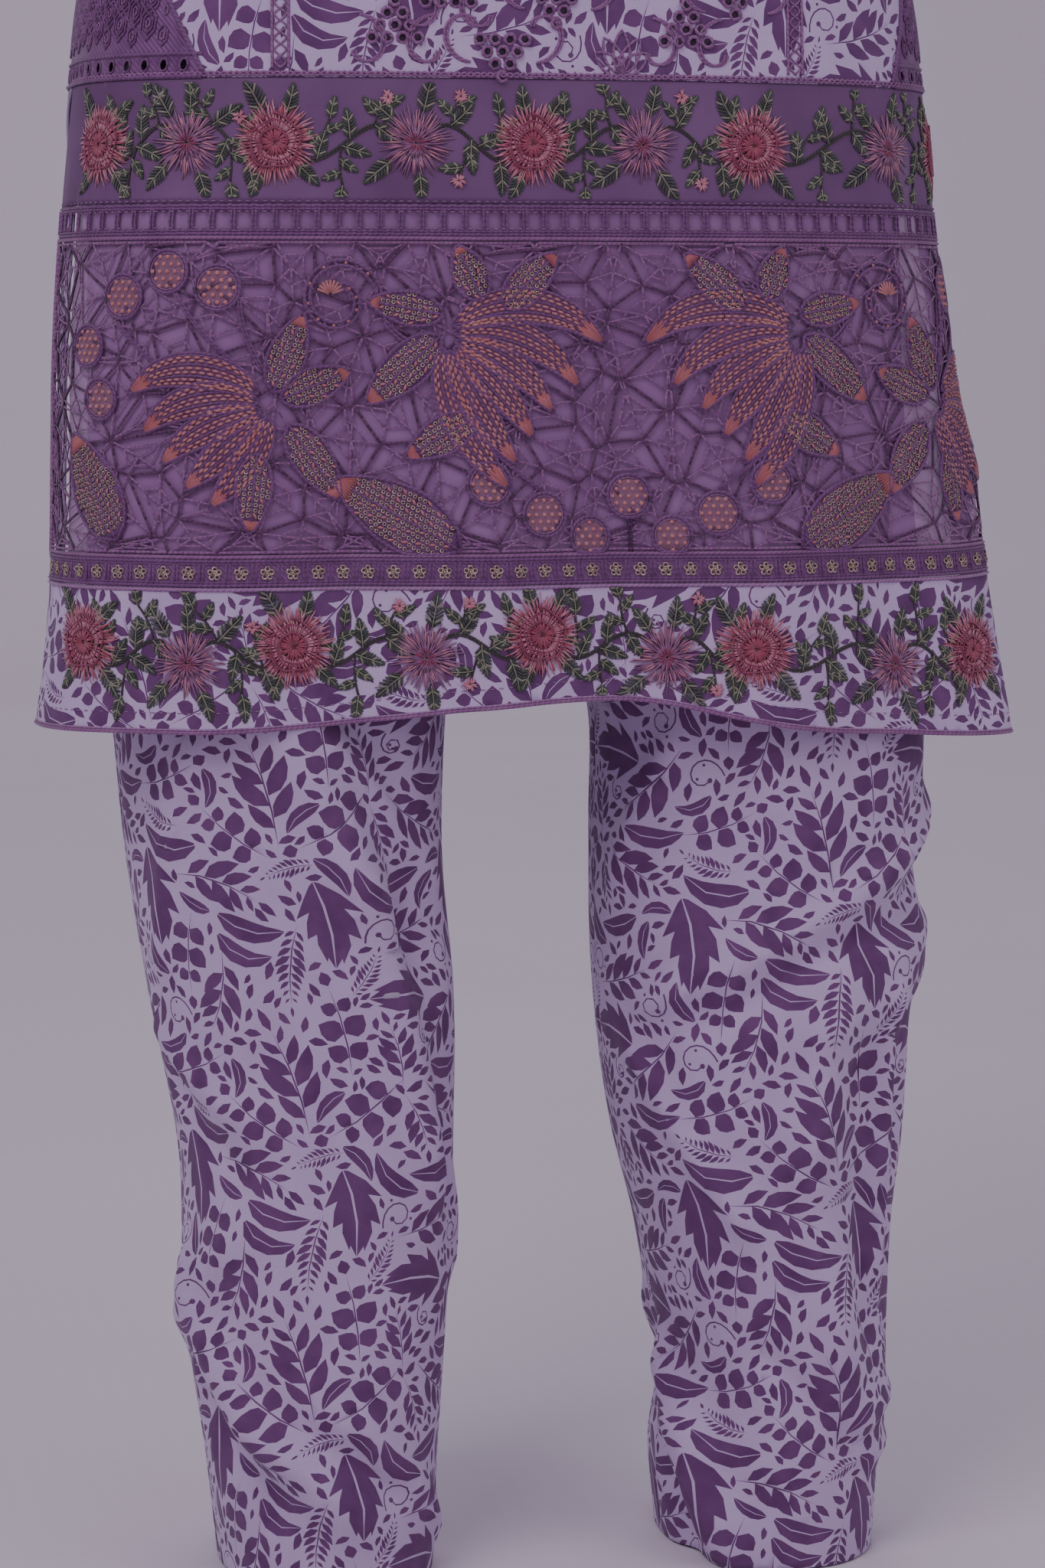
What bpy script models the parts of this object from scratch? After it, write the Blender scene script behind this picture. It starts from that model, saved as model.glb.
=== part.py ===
"""Salwar suit: a long printed kameez with lace borders at its hem, and straight printed trousers.

Metres, +Z up, the front faces -Y. Heights in the tables are above the trouser hem; the origin is
the middle of the shoulder line, so a height becomes z by taking SHOULDER away.
Every cut piece is a thin wall on a curved surface worked out from short tables of sections.
"""

import math
from collections import namedtuple

import bmesh
import bpy
import numpy as np
from mathutils import Vector
from mathutils.geometry import delaunay_2d_cdt

# Driving sizes
SHOULDER = 1.475
UNDERARM = 1.33
GORE_TOP = 1.09
HIP_SEAM = 0.885
ORGANZA_LOW = 0.815
LADDER_LOW = 0.797
CUTWORK_LOW = 0.615
SEQUIN_LOW = 0.599
KAMEEZ_HEM = 0.514
CROTCH = 0.715
CROTCH_TOP = 0.80
WAIST = 1.03
TROUSER_HEM = 0.0

COTTON_WALL = 0.0012
LACE_WALL = 0.0018
HALF_SEAM = 0.00015
SIDE_SEAM = 0.0006
RISE_GAP = 0.0008

# The neck and the shoulders
NECK_HALF = 0.095
SHOULDER_SLOPE = 0.40
SHOULDER_GAP = 0.0003
YOKE_CLOTH = 0.19
FRONT_NECK_DROP = 0.10
BACK_NECK_DROP = 0.02
NECK_SHARE = 3 / 7
NECK_ROUND = 2.0

# The gores' seams on each side, as lengths of cloth from the side line at the hip seam
GORE_NEAR = 0.105
GORE_FAR = 0.135

# The slits: how far each flap's edge lies from the side line
FRONT_SLIT = 0.006
BACK_SLIT = 0.085
BACK_SLIT_OPEN = 0.80
BACK_SLIT_ROUND = 0.7
FACING_COLUMNS = 2
FACING_ROWS = 20
FACING_INSET = 0.0028

Section = namedtuple("Section", "height half_width half_depth centre_x squareness")
KAMEEZ = [
    Section(0.47, 0.3010, 0.117, 0.0150, 3.1),
    Section(0.51, 0.2940, 0.118, 0.0135, 3.1),
    Section(0.55, 0.2865, 0.119, 0.0118, 3.1),
    Section(0.60, 0.2795, 0.120, 0.0093, 3.1),
    Section(0.67, 0.2745, 0.122, 0.0064, 3.0),
    Section(0.73, 0.2705, 0.124, 0.0039, 3.0),
    Section(0.80, 0.2625, 0.128, 0.0005, 2.9),
    Section(0.885, 0.2535, 0.132, 0.0, 2.8),
    Section(0.94, 0.2470, 0.133, 0.0, 2.6),
    Section(1.02, 0.2260, 0.127, 0.0, 2.4),
    Section(1.10, 0.2040, 0.118, 0.0, 2.3),
    Section(1.18, 0.2020, 0.122, 0.0, 2.3),
    Section(1.26, 0.2110, 0.132, 0.0, 2.3),
    Section(1.33, 0.2060, 0.126, 0.0, 2.3),
]
LEFT_LEG = [
    Section(0.0, 0.0640, 0.093, -0.1095, 2.2),
    Section(0.063, 0.0690, 0.094, -0.1114, 2.2),
    Section(0.151, 0.0780, 0.095, -0.1144, 2.2),
    Section(0.254, 0.0820, 0.095, -0.1136, 2.2),
    Section(0.35, 0.0910, 0.096, -0.1220, 2.2),
    Section(0.435, 0.0940, 0.098, -0.1320, 2.2),
    Section(0.511, 0.0985, 0.100, -0.1345, 2.2),
    Section(0.60, 0.1080, 0.104, -0.1350, 2.2),
    Section(0.715, 0.1215, 0.110, -0.1238, 2.3),
    Section(0.80, 0.1215, 0.112, -0.1238, 2.3),
]
RIGHT_LEG = [
    Section(0.0, 0.0640, 0.093, 0.1680, 2.2),
    Section(0.055, 0.0680, 0.094, 0.1675, 2.2),
    Section(0.106, 0.0665, 0.095, 0.1730, 2.2),
    Section(0.155, 0.0725, 0.095, 0.1690, 2.2),
    Section(0.202, 0.0780, 0.095, 0.1657, 2.2),
    Section(0.248, 0.0870, 0.095, 0.1626, 2.2),
    Section(0.35, 0.0970, 0.096, 0.1585, 2.2),
    Section(0.448, 0.1005, 0.098, 0.1600, 2.2),
    Section(0.511, 0.1015, 0.100, 0.1608, 2.2),
    Section(0.60, 0.1110, 0.104, 0.1470, 2.2),
    Section(0.715, 0.1215, 0.110, 0.1238, 2.3),
    Section(0.80, 0.1215, 0.112, 0.1238, 2.3),
]
HIP = [
    Section(0.715, 0.2445, 0.110, 0.0, 2.4),
    Section(0.80, 0.2430, 0.113, 0.0, 2.4),
    Section(0.86, 0.2330, 0.114, 0.0, 2.4),
    Section(0.95, 0.1980, 0.108, 0.0, 2.3),
    Section(1.00, 0.1720, 0.103, 0.0, 2.2),
    Section(1.03, 0.1600, 0.100, 0.0, 2.1),
]

# How far the front hem hangs below its level, by cloth across the front
HemPoint = namedtuple("HemPoint", "across drop")
FRONT_HEM = [
    HemPoint(-0.36, 0.000),
    HemPoint(-0.27, -0.001),
    HemPoint(-0.18, -0.002),
    HemPoint(-0.10, -0.008),
    HemPoint(-0.05, -0.013),
    HemPoint(0.07, -0.013),
    HemPoint(0.10, -0.006),
    HemPoint(0.15, 0.003),
    HemPoint(0.22, 0.008),
    HemPoint(0.30, 0.013),
    HemPoint(0.36, 0.015),
]

# Folds run through points of a piece: across is a share of its reach, depth is out of the cloth
Fold = namedtuple("Fold", "depth width start_across start_height end_across end_height")
KAMEEZ_FOLDS = [
    Fold(0.007, 0.030, -0.56, 0.76, -0.60, 0.48),
    Fold(-0.006, 0.026, -0.33, 0.70, -0.36, 0.48),
    Fold(0.006, 0.024, -0.12, 0.80, -0.10, 0.48),
    Fold(-0.005, 0.022, 0.10, 0.72, 0.12, 0.48),
    Fold(0.007, 0.028, 0.36, 0.78, 0.38, 0.48),
    Fold(-0.006, 0.024, 0.62, 0.70, 0.60, 0.48),
    Fold(0.008, 0.022, 0.86, 0.66, 0.84, 0.48),
]
BACK_FOLDS = [
    Fold(0.008, 0.030, -0.62, 0.86, -0.66, 0.48),
    Fold(-0.006, 0.028, -0.34, 0.80, -0.36, 0.48),
    Fold(0.007, 0.030, 0.02, 0.92, 0.00, 0.48),
    Fold(-0.006, 0.026, 0.32, 0.78, 0.36, 0.48),
    Fold(0.008, 0.028, 0.60, 0.84, 0.64, 0.48),
]
LEFT_LEG_FOLDS = [
    Fold(0.010, 0.020, -0.10, 0.53, 0.20, 0.42),
    Fold(0.010, 0.018, 0.20, 0.42, 0.44, 0.25),
    Fold(-0.009, 0.018, 0.14, 0.53, 0.44, 0.40),
    Fold(-0.009, 0.016, 0.44, 0.40, 0.60, 0.25),
    Fold(0.006, 0.016, -0.52, 0.206, -0.90, 0.160),
    Fold(0.008, 0.016, -0.80, 0.152, -0.34, 0.096),
    Fold(0.008, 0.016, -0.34, 0.096, -0.02, 0.055),
    Fold(-0.008, 0.014, -0.86, 0.110, -0.36, 0.060),
]
RIGHT_LEG_FOLDS = [
    Fold(-0.007, 0.026, -0.30, 0.48, -0.20, 0.40),
    Fold(0.008, 0.018, 0.87, 0.365, 0.15, 0.335),
    Fold(0.009, 0.018, 0.15, 0.335, 0.04, 0.265),
    Fold(0.009, 0.018, 0.04, 0.265, 0.14, 0.130),
    Fold(-0.008, 0.016, 0.36, 0.300, 0.34, 0.150),
    Fold(0.010, 0.014, -0.98, 0.120, -0.60, 0.078),
    Fold(0.009, 0.014, -0.60, 0.078, -0.34, 0.010),
    Fold(-0.008, 0.014, -0.86, 0.062, -0.66, 0.010),
    Fold(0.005, 0.009, 0.30, 0.088, 0.70, 0.094),
    Fold(0.005, 0.009, 0.34, 0.062, 0.74, 0.064),
]
BACK_LEG_FOLDS = [
    Fold(0.008, 0.022, 0.30, 0.66, -0.10, 0.45),
    Fold(-0.007, 0.020, -0.30, 0.48, 0.10, 0.30),
    Fold(0.008, 0.018, 0.20, 0.26, -0.20, 0.12),
    Fold(0.007, 0.014, -0.60, 0.10, 0.30, 0.05),
]

# Each row of the sleeve is a ring between its body side and its outer side
SleeveRing = namedtuple("SleeveRing", "inner_x inner_height outer_x outer_height half_depth share")
SLEEVE = [
    SleeveRing(0.2120, 1.312, 0.235, 1.428, 0.066, 0.55),
    SleeveRing(0.2150, 1.285, 0.285, 1.385, 0.072, 1.0),
    SleeveRing(0.2190, 1.240, 0.322, 1.310, 0.071, 1.0),
    SleeveRing(0.2240, 1.190, 0.341, 1.225, 0.066, 1.0),
    SleeveRing(0.2310, 1.130, 0.353, 1.148, 0.061, 1.0),
    SleeveRing(0.2390, 1.070, 0.362, 1.078, 0.057, 1.0),
]
ARMHOLE_GAP = 0.0012
UNDERARM_GAP = 0.0006
UNDERARM_FADE = 6

# The lace band's motifs on one half, from its mirror line and its lower edge; turn is in degrees
Frond = namedtuple("Frond", "x y turn length bend width")
PETALS = [
    Frond(0.102, 0.132, 158, 0.100, 78, 0.021),
    Frond(0.101, 0.128, 178, 0.086, 68, 0.020),
    Frond(0.100, 0.123, 198, 0.072, 48, 0.018),
    Frond(0.101, 0.120, 222, 0.070, 20, 0.018),
    Frond(0.104, 0.118, 246, 0.076, -16, 0.018),
    Frond(0.108, 0.120, 262, 0.092, -44, 0.020),
    Frond(0.212, 0.094, 28, 0.082, -76, 0.020),
    Frond(0.212, 0.089, 8, 0.074, -62, 0.019),
    Frond(0.211, 0.084, -14, 0.066, -38, 0.018),
    Frond(0.209, 0.081, -40, 0.062, -8, 0.018),
    Frond(0.206, 0.080, -64, 0.062, 22, 0.018),
]
LEAVES = [
    Frond(0.072, 0.142, 138, 0.046, 0, 0.021),
    Frond(0.084, 0.146, 66, 0.034, 0, 0.020),
    Frond(0.106, 0.138, 10, 0.044, 0, 0.019),
    Frond(0.108, 0.126, -42, 0.058, 0, 0.024),
    Frond(0.090, 0.080, -30, 0.046, 0, 0.021),
    Frond(0.100, 0.004, 30, 0.082, 0, 0.036),
    Frond(0.204, 0.094, 112, 0.048, 0, 0.021),
    Frond(0.200, 0.090, 158, 0.044, 0, 0.020),
    Frond(0.196, 0.076, 236, 0.052, 0, 0.022),
    Frond(0.214, 0.060, 276, 0.046, 0, 0.020),
    Frond(0.296, 0.010, 60, 0.070, 0, 0.034),
]
Berry = namedtuple("Berry", "x y radius")
BERRIES = [
    Berry(0.000, 0.034, 0.0130),
    Berry(0.024, 0.011, 0.0120),
    Berry(0.051, 0.024, 0.0130),
    Berry(0.083, 0.042, 0.0130),
    Berry(0.234, 0.153, 0.0130),
    Berry(0.263, 0.162, 0.0125),
    Berry(0.292, 0.148, 0.0130),
    Berry(0.318, 0.120, 0.0125),
    Berry(0.308, 0.090, 0.0120),
]
SCROLL_X = 0.166
SCROLL_Y = 0.146
SCROLL_RADIUS = 0.025
LACE_MIRROR = 0.045
FROND_SWELL = 0.8
FROND_ROUND = 0.75
WEB_SPACING = 0.031
WEB_ROW_STEP = 0.87
WEB_WAVER = 0.30
WEB_NEIGHBOURS = 13
WEB_BAR = 0.0024
WEB_GAP_AREA = 0.00014
SMALL_GAP_AREA = 0.00002
CLOSEST_POINTS = 0.0006
FROND_STEPS = 5
ROUND_STEPS = 7
LACE_ROWS = 2
FLAT_ANGLE = 0.01
LACE_TURNING = 0.7
BAND_EDGE = 0.0035
RUNG_PITCH = 0.0118
RUNG_WIDTH = 0.0032
RAIL_WIDTH = 0.0035
LOOP_PITCH = 0.0125
LOOP_WIDTH = 0.0062
LOOP_HEIGHT = 0.0085
LOOP_FOOT = 0.0035
GORE_TIP = 0.006
GORE_COLUMNS = 8
GORE_ROWS = 3

# Grid columns and rows of the plain pieces
BODY_COLUMNS = 14
BODY_ROWS = 7
ARMHOLE_STEPS = 8
FLAP_COLUMNS = 20
FLAP_GRADE = 1.35
SKIRT_ROWS = 6
HEM_ROWS = 4
ORGANZA_ROWS = 3
SEQUIN_ROWS = 1
LEG_COLUMNS = 10
FRONT_LEG_ROWS = 22
BACK_LEG_ROWS = 13
LEG_ROW_GRADE = 1.5

# Lattice fineness of the surfaces that the walls are read from, and how far a fold fades at its ends
FOLD_FADE = 1.5
LATTICE_COLUMNS = 129
LATTICE_STEP = 0.006
ARC_STEPS = 600

COLOURS = {
    "print": (0.60, 0.50, 0.63, 1.0),
    "organza": (0.36, 0.20, 0.44, 1.0),
    "lace": (0.29, 0.12, 0.33, 1.0),
    "sequins": (0.38, 0.24, 0.36, 1.0),
}


def smooth_curve(knots, values):
    """A function through the values, with the slope of the neighbours at each knot."""
    knots = np.asarray(knots, float)
    values = np.asarray(values, float)
    slopes = np.gradient(values, knots)

    def read(at):
        at = np.clip(at, knots[0], knots[-1])
        i = np.clip(np.searchsorted(knots, at, side="right") - 1, 0, len(knots) - 2)
        step = knots[i + 1] - knots[i]
        t = (at - knots[i]) / step
        rise = values[i + 1] - values[i]
        leave = slopes[i] * step
        arrive = slopes[i + 1] * step
        return values[i] + t * (leave + t * (3 * rise - 2 * leave - arrive + t * (leave + arrive - 2 * rise)))

    return read


def section_reader(rows):
    """A function that gives the section at any height."""
    heights = [row.height for row in rows]
    curves = [smooth_curve(heights, [row[i] for row in rows]) for i in range(1, 5)]
    return lambda height: Section(height, *(float(curve(height)) for curve in curves))


def quarter_ring(section):
    """x and y of a rounded ring from its front middle round to its side, and the cloth used so far."""
    angle = np.linspace(0.0, math.pi / 2, ARC_STEPS)
    power = 2.0 / section.squareness
    x = section.half_width * np.sin(angle) ** power
    y = -section.half_depth * np.abs(np.cos(angle)) ** power
    steps = np.hypot(np.diff(x), np.diff(y))
    return x, y, np.concatenate([[0.0], np.cumsum(steps)])


class Sheet:
    """A surface that a piece is cut from, read by cloth across it and by height up it."""

    def __init__(self, heights, points, reach):
        self.heights = heights
        self.points = points
        self.reach = reach

    def reach_at(self, height):
        return np.interp(height, self.heights, self.reach)

    def fold(self, folds):
        """Moves the lattice out or in along soft lines, each fading at both ends."""
        rows, columns = self.points.shape[:2]
        share = np.linspace(-1, 1, columns)[None, :]
        height = self.heights[:, None]
        reach = self.reach[:, None]
        offset = np.zeros((rows, columns))
        for fold in folds:
            scale = self.reach_at(0.5 * (fold.start_height + fold.end_height))
            along = np.array([fold.end_across - fold.start_across, fold.end_height - fold.start_height])
            along[0] *= scale
            length = np.hypot(*along)
            along = along / length
            x = share * reach - fold.start_across * scale
            y = height - fold.start_height
            run = x * along[0] + y * along[1]
            side = y * along[0] - x * along[1]
            beyond = np.maximum(0.0, np.maximum(-run, run - length))
            fade = beyond / (FOLD_FADE * fold.width)
            offset += fold.depth * np.exp(-((side / fold.width) ** 2) - fade**2)
        self.points = self.points + offset[..., None] * self.normals()

    def normals(self):
        across = np.gradient(self.points, axis=1)
        up = np.gradient(self.points, axis=0)
        normal = np.cross(across, up)
        return normal / np.linalg.norm(normal, axis=-1, keepdims=True)

    def at(self, across, height, out=0.0):
        """Points on the surface, moved out of it by a distance."""
        across = np.asarray(across, float)
        height = np.asarray(height, float)
        share = across / self.reach_at(height)
        columns = self.points.shape[1]
        c = np.clip((share + 1) / 2 * (columns - 1), 0, columns - 1.000001)
        rows = len(self.heights)
        r = np.clip(np.interp(height, self.heights, np.arange(rows)), 0, rows - 1.000001)
        c0 = c.astype(int)
        r0 = r.astype(int)
        tc = (c - c0)[..., None]
        tr = (r - r0)[..., None]

        def mix(grid):
            low = grid[r0, c0] * (1 - tc) + grid[r0, c0 + 1] * tc
            high = grid[r0 + 1, c0] * (1 - tc) + grid[r0 + 1, c0 + 1] * tc
            return low * (1 - tr) + high * tr

        return mix(self.points) + out * mix(self.normals())


def lattice_heights(low, high):
    return np.linspace(low, high, int(round((high - low) / LATTICE_STEP)) + 1)


def shoulder_height(x):
    return SHOULDER - SHOULDER_SLOPE * np.maximum(0.0, np.abs(x) - NECK_HALF)


def kameez_sheet(back):
    """The front or the back of the kameez; above the underarm, height is cloth over the shoulder."""
    section_at = section_reader(KAMEEZ)
    heights = lattice_heights(KAMEEZ[0].height, UNDERARM + YOKE_CLOTH)
    share = np.linspace(-1, 1, LATTICE_COLUMNS)
    rows = []
    reach = []
    for cloth in heights:
        section = section_at(min(cloth, UNDERARM))
        ring_x, ring_y, arc = quarter_ring(section)
        x = np.sign(share) * np.interp(np.abs(share) * arc[-1], arc, ring_x)
        y = np.interp(np.abs(share) * arc[-1], arc, ring_y)
        roll = max(0.0, cloth - UNDERARM) / YOKE_CLOTH * math.pi / 2
        height = cloth + 0 * x
        if roll > 0:
            height = UNDERARM + (shoulder_height(x) - UNDERARM) * math.sin(roll)
        y = y * math.cos(roll) - SHOULDER_GAP * math.sin(roll)
        if back:
            rows.append(np.stack([section.centre_x - x, -y, height - SHOULDER], -1))
        else:
            rows.append(np.stack([section.centre_x + x, y, height - SHOULDER], -1))
        reach.append(arc[-1])
    sheet = Sheet(heights, np.array(rows), np.array(reach))
    sheet.fold(BACK_FOLDS if back else KAMEEZ_FOLDS)
    return sheet


def half_ring(section, back):
    """One panel's half of a leg ring, from its side of smaller share to the other, evenly spaced."""
    ring_x, ring_y, arc = quarter_ring(section)
    share = np.linspace(-1, 1, LATTICE_COLUMNS)
    x = np.sign(share) * np.interp(np.abs(share) * arc[-1], arc, ring_x)
    y = np.interp(np.abs(share) * arc[-1], arc, ring_y)
    if back:
        return np.stack([section.centre_x - x, -y], -1), arc[-1]
    return np.stack([section.centre_x + x, y], -1), arc[-1]


def half_hip(section, side, back):
    """The hip's quarter that a leg's panel grows into, in the same order as half_ring."""
    ring_x, ring_y, arc = quarter_ring(section)
    share = np.linspace(0, 1, LATTICE_COLUMNS)
    x = (np.interp(share * arc[-1], arc, ring_x) + RISE_GAP / 2) * side
    y = np.interp(share * arc[-1], arc, ring_y)
    quarter = np.stack([x, -y if back else y], -1)
    inner_first = (side > 0) != back
    return quarter if inner_first else quarter[::-1], arc[-1] / 2


def trouser_sheet(side, back):
    """A trouser panel: half a leg that turns into a quarter of the hips over the crotch."""
    leg_at = section_reader(LEFT_LEG if side < 0 else RIGHT_LEG)
    hip_at = section_reader(HIP)
    heights = lattice_heights(TROUSER_HEM, WAIST)
    rows = []
    reach = []
    for height in heights:
        leg, leg_reach = half_ring(leg_at(min(height, CROTCH_TOP)), back)
        hip, hip_reach = half_hip(hip_at(max(height, CROTCH)), side, back)
        k = np.clip((height - CROTCH) / (CROTCH_TOP - CROTCH), 0.0, 1.0)
        k = k * k * (3 - 2 * k)
        flat = leg * (1 - k) + hip * k
        rows.append(np.concatenate([flat, np.full((LATTICE_COLUMNS, 1), height - SHOULDER)], 1))
        reach.append(leg_reach * (1 - k) + hip_reach * k)
    sheet = Sheet(heights, np.array(rows), np.array(reach))
    front_folds = LEFT_LEG_FOLDS if side < 0 else RIGHT_LEG_FOLDS
    sheet.fold(BACK_LEG_FOLDS if back else front_folds)
    return sheet


def arm_height(cloth):
    """0 at the underarm to 1 at the shoulder seam."""
    return np.clip((np.asarray(cloth) - UNDERARM) / YOKE_CLOTH, 0.0, 1.0)


ARMHOLE_X = smooth_curve([0.0, 0.18, 0.42, 0.70, 1.0], [0.206, 0.186, 0.172, 0.176, 0.190])


def armhole_edge(sheet, cloth):
    """Cloth across the body from its middle to the armhole."""
    x = sheet.points[-1, :, 0]
    share = np.linspace(-1, 1, len(x))
    order = np.argsort(x)
    return np.interp(ARMHOLE_X(arm_height(cloth)), x[order], np.abs(share)[order] * sheet.reach[-1])


def gore_seam(width, height):
    """Cloth from the side line to the gore's seam."""
    return width * np.clip((GORE_TOP - height) / (GORE_TOP - HIP_SEAM), 0.0, 1.0)


def body_edge(sheet, width):
    """A function that gives the body panel's half width at each height, on the side whose gore is so wide."""

    def edge(cloth):
        side = sheet.reach_at(cloth) - SIDE_SEAM / 2 - gore_seam(width, cloth)
        return np.where(np.asarray(cloth) > UNDERARM, armhole_edge(sheet, cloth), side)

    return edge


def add_material(obj, kind):
    material = bpy.data.materials.new(obj.name)
    material.use_nodes = True
    shader = material.node_tree.nodes["Principled BSDF"]
    shader.inputs["Base Color"].default_value = COLOURS[kind]
    shader.inputs["Roughness"].default_value = 0.35 if kind == "sequins" else 0.8
    obj.data.materials.append(material)
    material.diffuse_color = COLOURS[kind]


def object_from(bm, name, kind, wall, collection):
    """An object from an open surface, given its wall by Solidify."""
    mesh = bpy.data.meshes.new(name)
    bm.to_mesh(mesh)
    bm.free()
    mesh.shade_smooth()
    obj = bpy.data.objects.new(name, mesh)
    collection.objects.link(obj)
    add_material(obj, kind)
    solidify = obj.modifiers.new("Wall", "SOLIDIFY")
    solidify.thickness = wall
    solidify.offset = 0.0
    solidify.use_even_offset = False
    return obj


def panel(name, kind, wall, collection, sheet, left, right, low, high, shares, rises, out=0.0):
    """A cut piece between two edges and two seams, as a grid laid on its sheet.

    The shares are the grid's columns, from -1 at the left edge to 1 at the right one, and the rises
    are its rows, from 0 at the lower seam to 1 at the upper one.
    """
    bm = bmesh.new()
    bmesh.ops.create_grid(bm, x_segments=len(shares) - 1, y_segments=len(rises) - 1, size=1.0)
    share = np.interp([vert.co.x for vert in bm.verts], np.linspace(-1, 1, len(shares)), shares)
    rise = np.interp([vert.co.y for vert in bm.verts], np.linspace(-1, 1, len(rises)), rises)
    bottom = low(share) + HALF_SEAM
    top = high(share) - HALF_SEAM
    height = bottom + (top - bottom) * rise
    start = left(height)
    end = right(height)
    across = start + (end - start) * (share + 1) / 2
    for vert, point in zip(bm.verts, sheet.at(across, height, out)):
        vert.co = Vector(point)
    return object_from(bm, name, kind, wall, collection)


def even_rises(rows):
    return np.linspace(0.0, 1.0, rows + 1)


def even_shares(columns):
    return np.linspace(-1.0, 1.0, columns + 1)


def flap_shares():
    """Columns of a flap's pieces, closer together where the cloth turns round the side."""
    even = even_shares(FLAP_COLUMNS)
    return np.sign(even) * (1 - (1 - np.abs(even)) ** FLAP_GRADE)


def body_rises():
    """Rows of a body panel: even to the underarm, then one for each of the sleeve's points."""
    seam = UNDERARM + YOKE_CLOTH
    below = np.linspace(HIP_SEAM, UNDERARM, BODY_ROWS, endpoint=False)
    above = np.linspace(UNDERARM, seam, ARMHOLE_STEPS + 1)
    heights = np.concatenate([below, above])
    return (heights - HIP_SEAM) / (seam - HIP_SEAM)


def level(height):
    """A seam at one height all across."""
    return lambda share: height + 0.0 * share


def polygon_area(points):
    x, y = np.asarray(points).T
    return 0.5 * abs(np.sum(x * np.roll(y, -1) - y * np.roll(x, -1)))


def inside(points, polygon):
    """Which points lie inside a closed polygon."""
    x, y = points[:, 0], points[:, 1]
    found = np.zeros(len(points), bool)
    for (ax, ay), (bx, by) in zip(polygon, np.roll(polygon, -1, axis=0)):
        crosses = (ay > y) != (by > y)
        at = ax + (y - ay) / (by - ay if by != ay else 1.0) * (bx - ax)
        found ^= crosses & (x < at)
    return found


def frond_outline(frond):
    """A leaf or a petal: a bent spine with its width swelling along it."""
    t = np.linspace(0.0, 1.0, FROND_STEPS)
    turn = np.radians(frond.turn + frond.bend * t)
    stride = frond.length / (FROND_STEPS - 1)
    x = frond.x + np.concatenate([[0.0], np.cumsum(np.cos(turn[:-1]) * stride)])
    y = frond.y + np.concatenate([[0.0], np.cumsum(np.sin(turn[:-1]) * stride)])
    half = frond.width / 2 * np.sin(math.pi * t**FROND_SWELL) ** FROND_ROUND
    half[0] = half[-1] = 0.0
    left = np.stack([x - np.sin(turn) * half, y + np.cos(turn) * half], -1)
    right = np.stack([x + np.sin(turn) * half, y - np.cos(turn) * half], -1)
    return np.concatenate([left, right[-2:0:-1]])


def round_outline(x, y, radius):
    turn = np.linspace(0.0, 2 * math.pi, ROUND_STEPS, endpoint=False)
    return np.stack([x + radius * np.cos(turn), y + radius * np.sin(turn)], -1)


def lace_motifs():
    """Every motif's outline in the lace band, both halves, in the band's flat sizes."""
    half = [frond_outline(frond) for frond in PETALS + LEAVES]
    half += [round_outline(berry.x, berry.y, berry.radius) for berry in BERRIES]
    half.append(round_outline(SCROLL_X, SCROLL_Y, SCROLL_RADIUS))
    both = []
    for outline in half:
        both.append(outline + [LACE_MIRROR, 0.0])
        both.append(outline[::-1] * [-1.0, 1.0] + [LACE_MIRROR, 0.0])
    return both


def web_seeds(low_x, high_x, low_y, high_y, spacing):
    """Middles of the web's gaps: staggered rows, each point moved a little by a fixed rule."""
    seeds = []
    row_step = spacing * WEB_ROW_STEP
    for row in range(-1, int((high_y - low_y) / row_step) + 2):
        for column in range(-1, int((high_x - low_x) / spacing) + 2):
            shift = 0.5 * (row % 2)
            wave_x = WEB_WAVER * math.sin(2.1 * column + 3.7 * row)
            wave_y = WEB_WAVER * math.sin(3.3 * column - 1.9 * row + 1.0)
            seeds.append((low_x + (column + shift + wave_x) * spacing, low_y + (row + wave_y) * row_step))
    return np.array(seeds)


def clip_half_plane(polygon, point, normal):
    """The part of a convex polygon on the inner side of a line."""
    kept = []
    for a, b in zip(polygon, polygon[1:] + polygon[:1]):
        da = (a[0] - point[0]) * normal[0] + (a[1] - point[1]) * normal[1]
        db = (b[0] - point[0]) * normal[0] + (b[1] - point[1]) * normal[1]
        if da <= 0:
            kept.append(a)
        if (da < 0 < db) or (db < 0 < da):
            t = da / (da - db)
            kept.append((a[0] + t * (b[0] - a[0]), a[1] + t * (b[1] - a[1])))
    return kept


def web_gaps(low_x, high_x, low_y, high_y):
    """The gaps between a web of bars: each the ground nearest its seed, less half a bar all round."""
    seeds = web_seeds(low_x, high_x, low_y, high_y, WEB_SPACING)
    gaps = []
    for i, seed in enumerate(seeds):
        cell = [(low_x, low_y), (high_x, low_y), (high_x, high_y), (low_x, high_y)]
        away = seeds - seed
        distance = np.hypot(away[:, 0], away[:, 1])
        for j in np.argsort(distance)[1:WEB_NEIGHBOURS + 1]:
            normal = away[j] / distance[j]
            point = seed + normal * (distance[j] / 2 - WEB_BAR / 2)
            cell = clip_half_plane(cell, point, normal)
            if len(cell) < 3:
                break
        if len(cell) >= 3 and polygon_area(cell) > WEB_GAP_AREA:
            gaps.append(np.array(cell))
    return gaps


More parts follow.
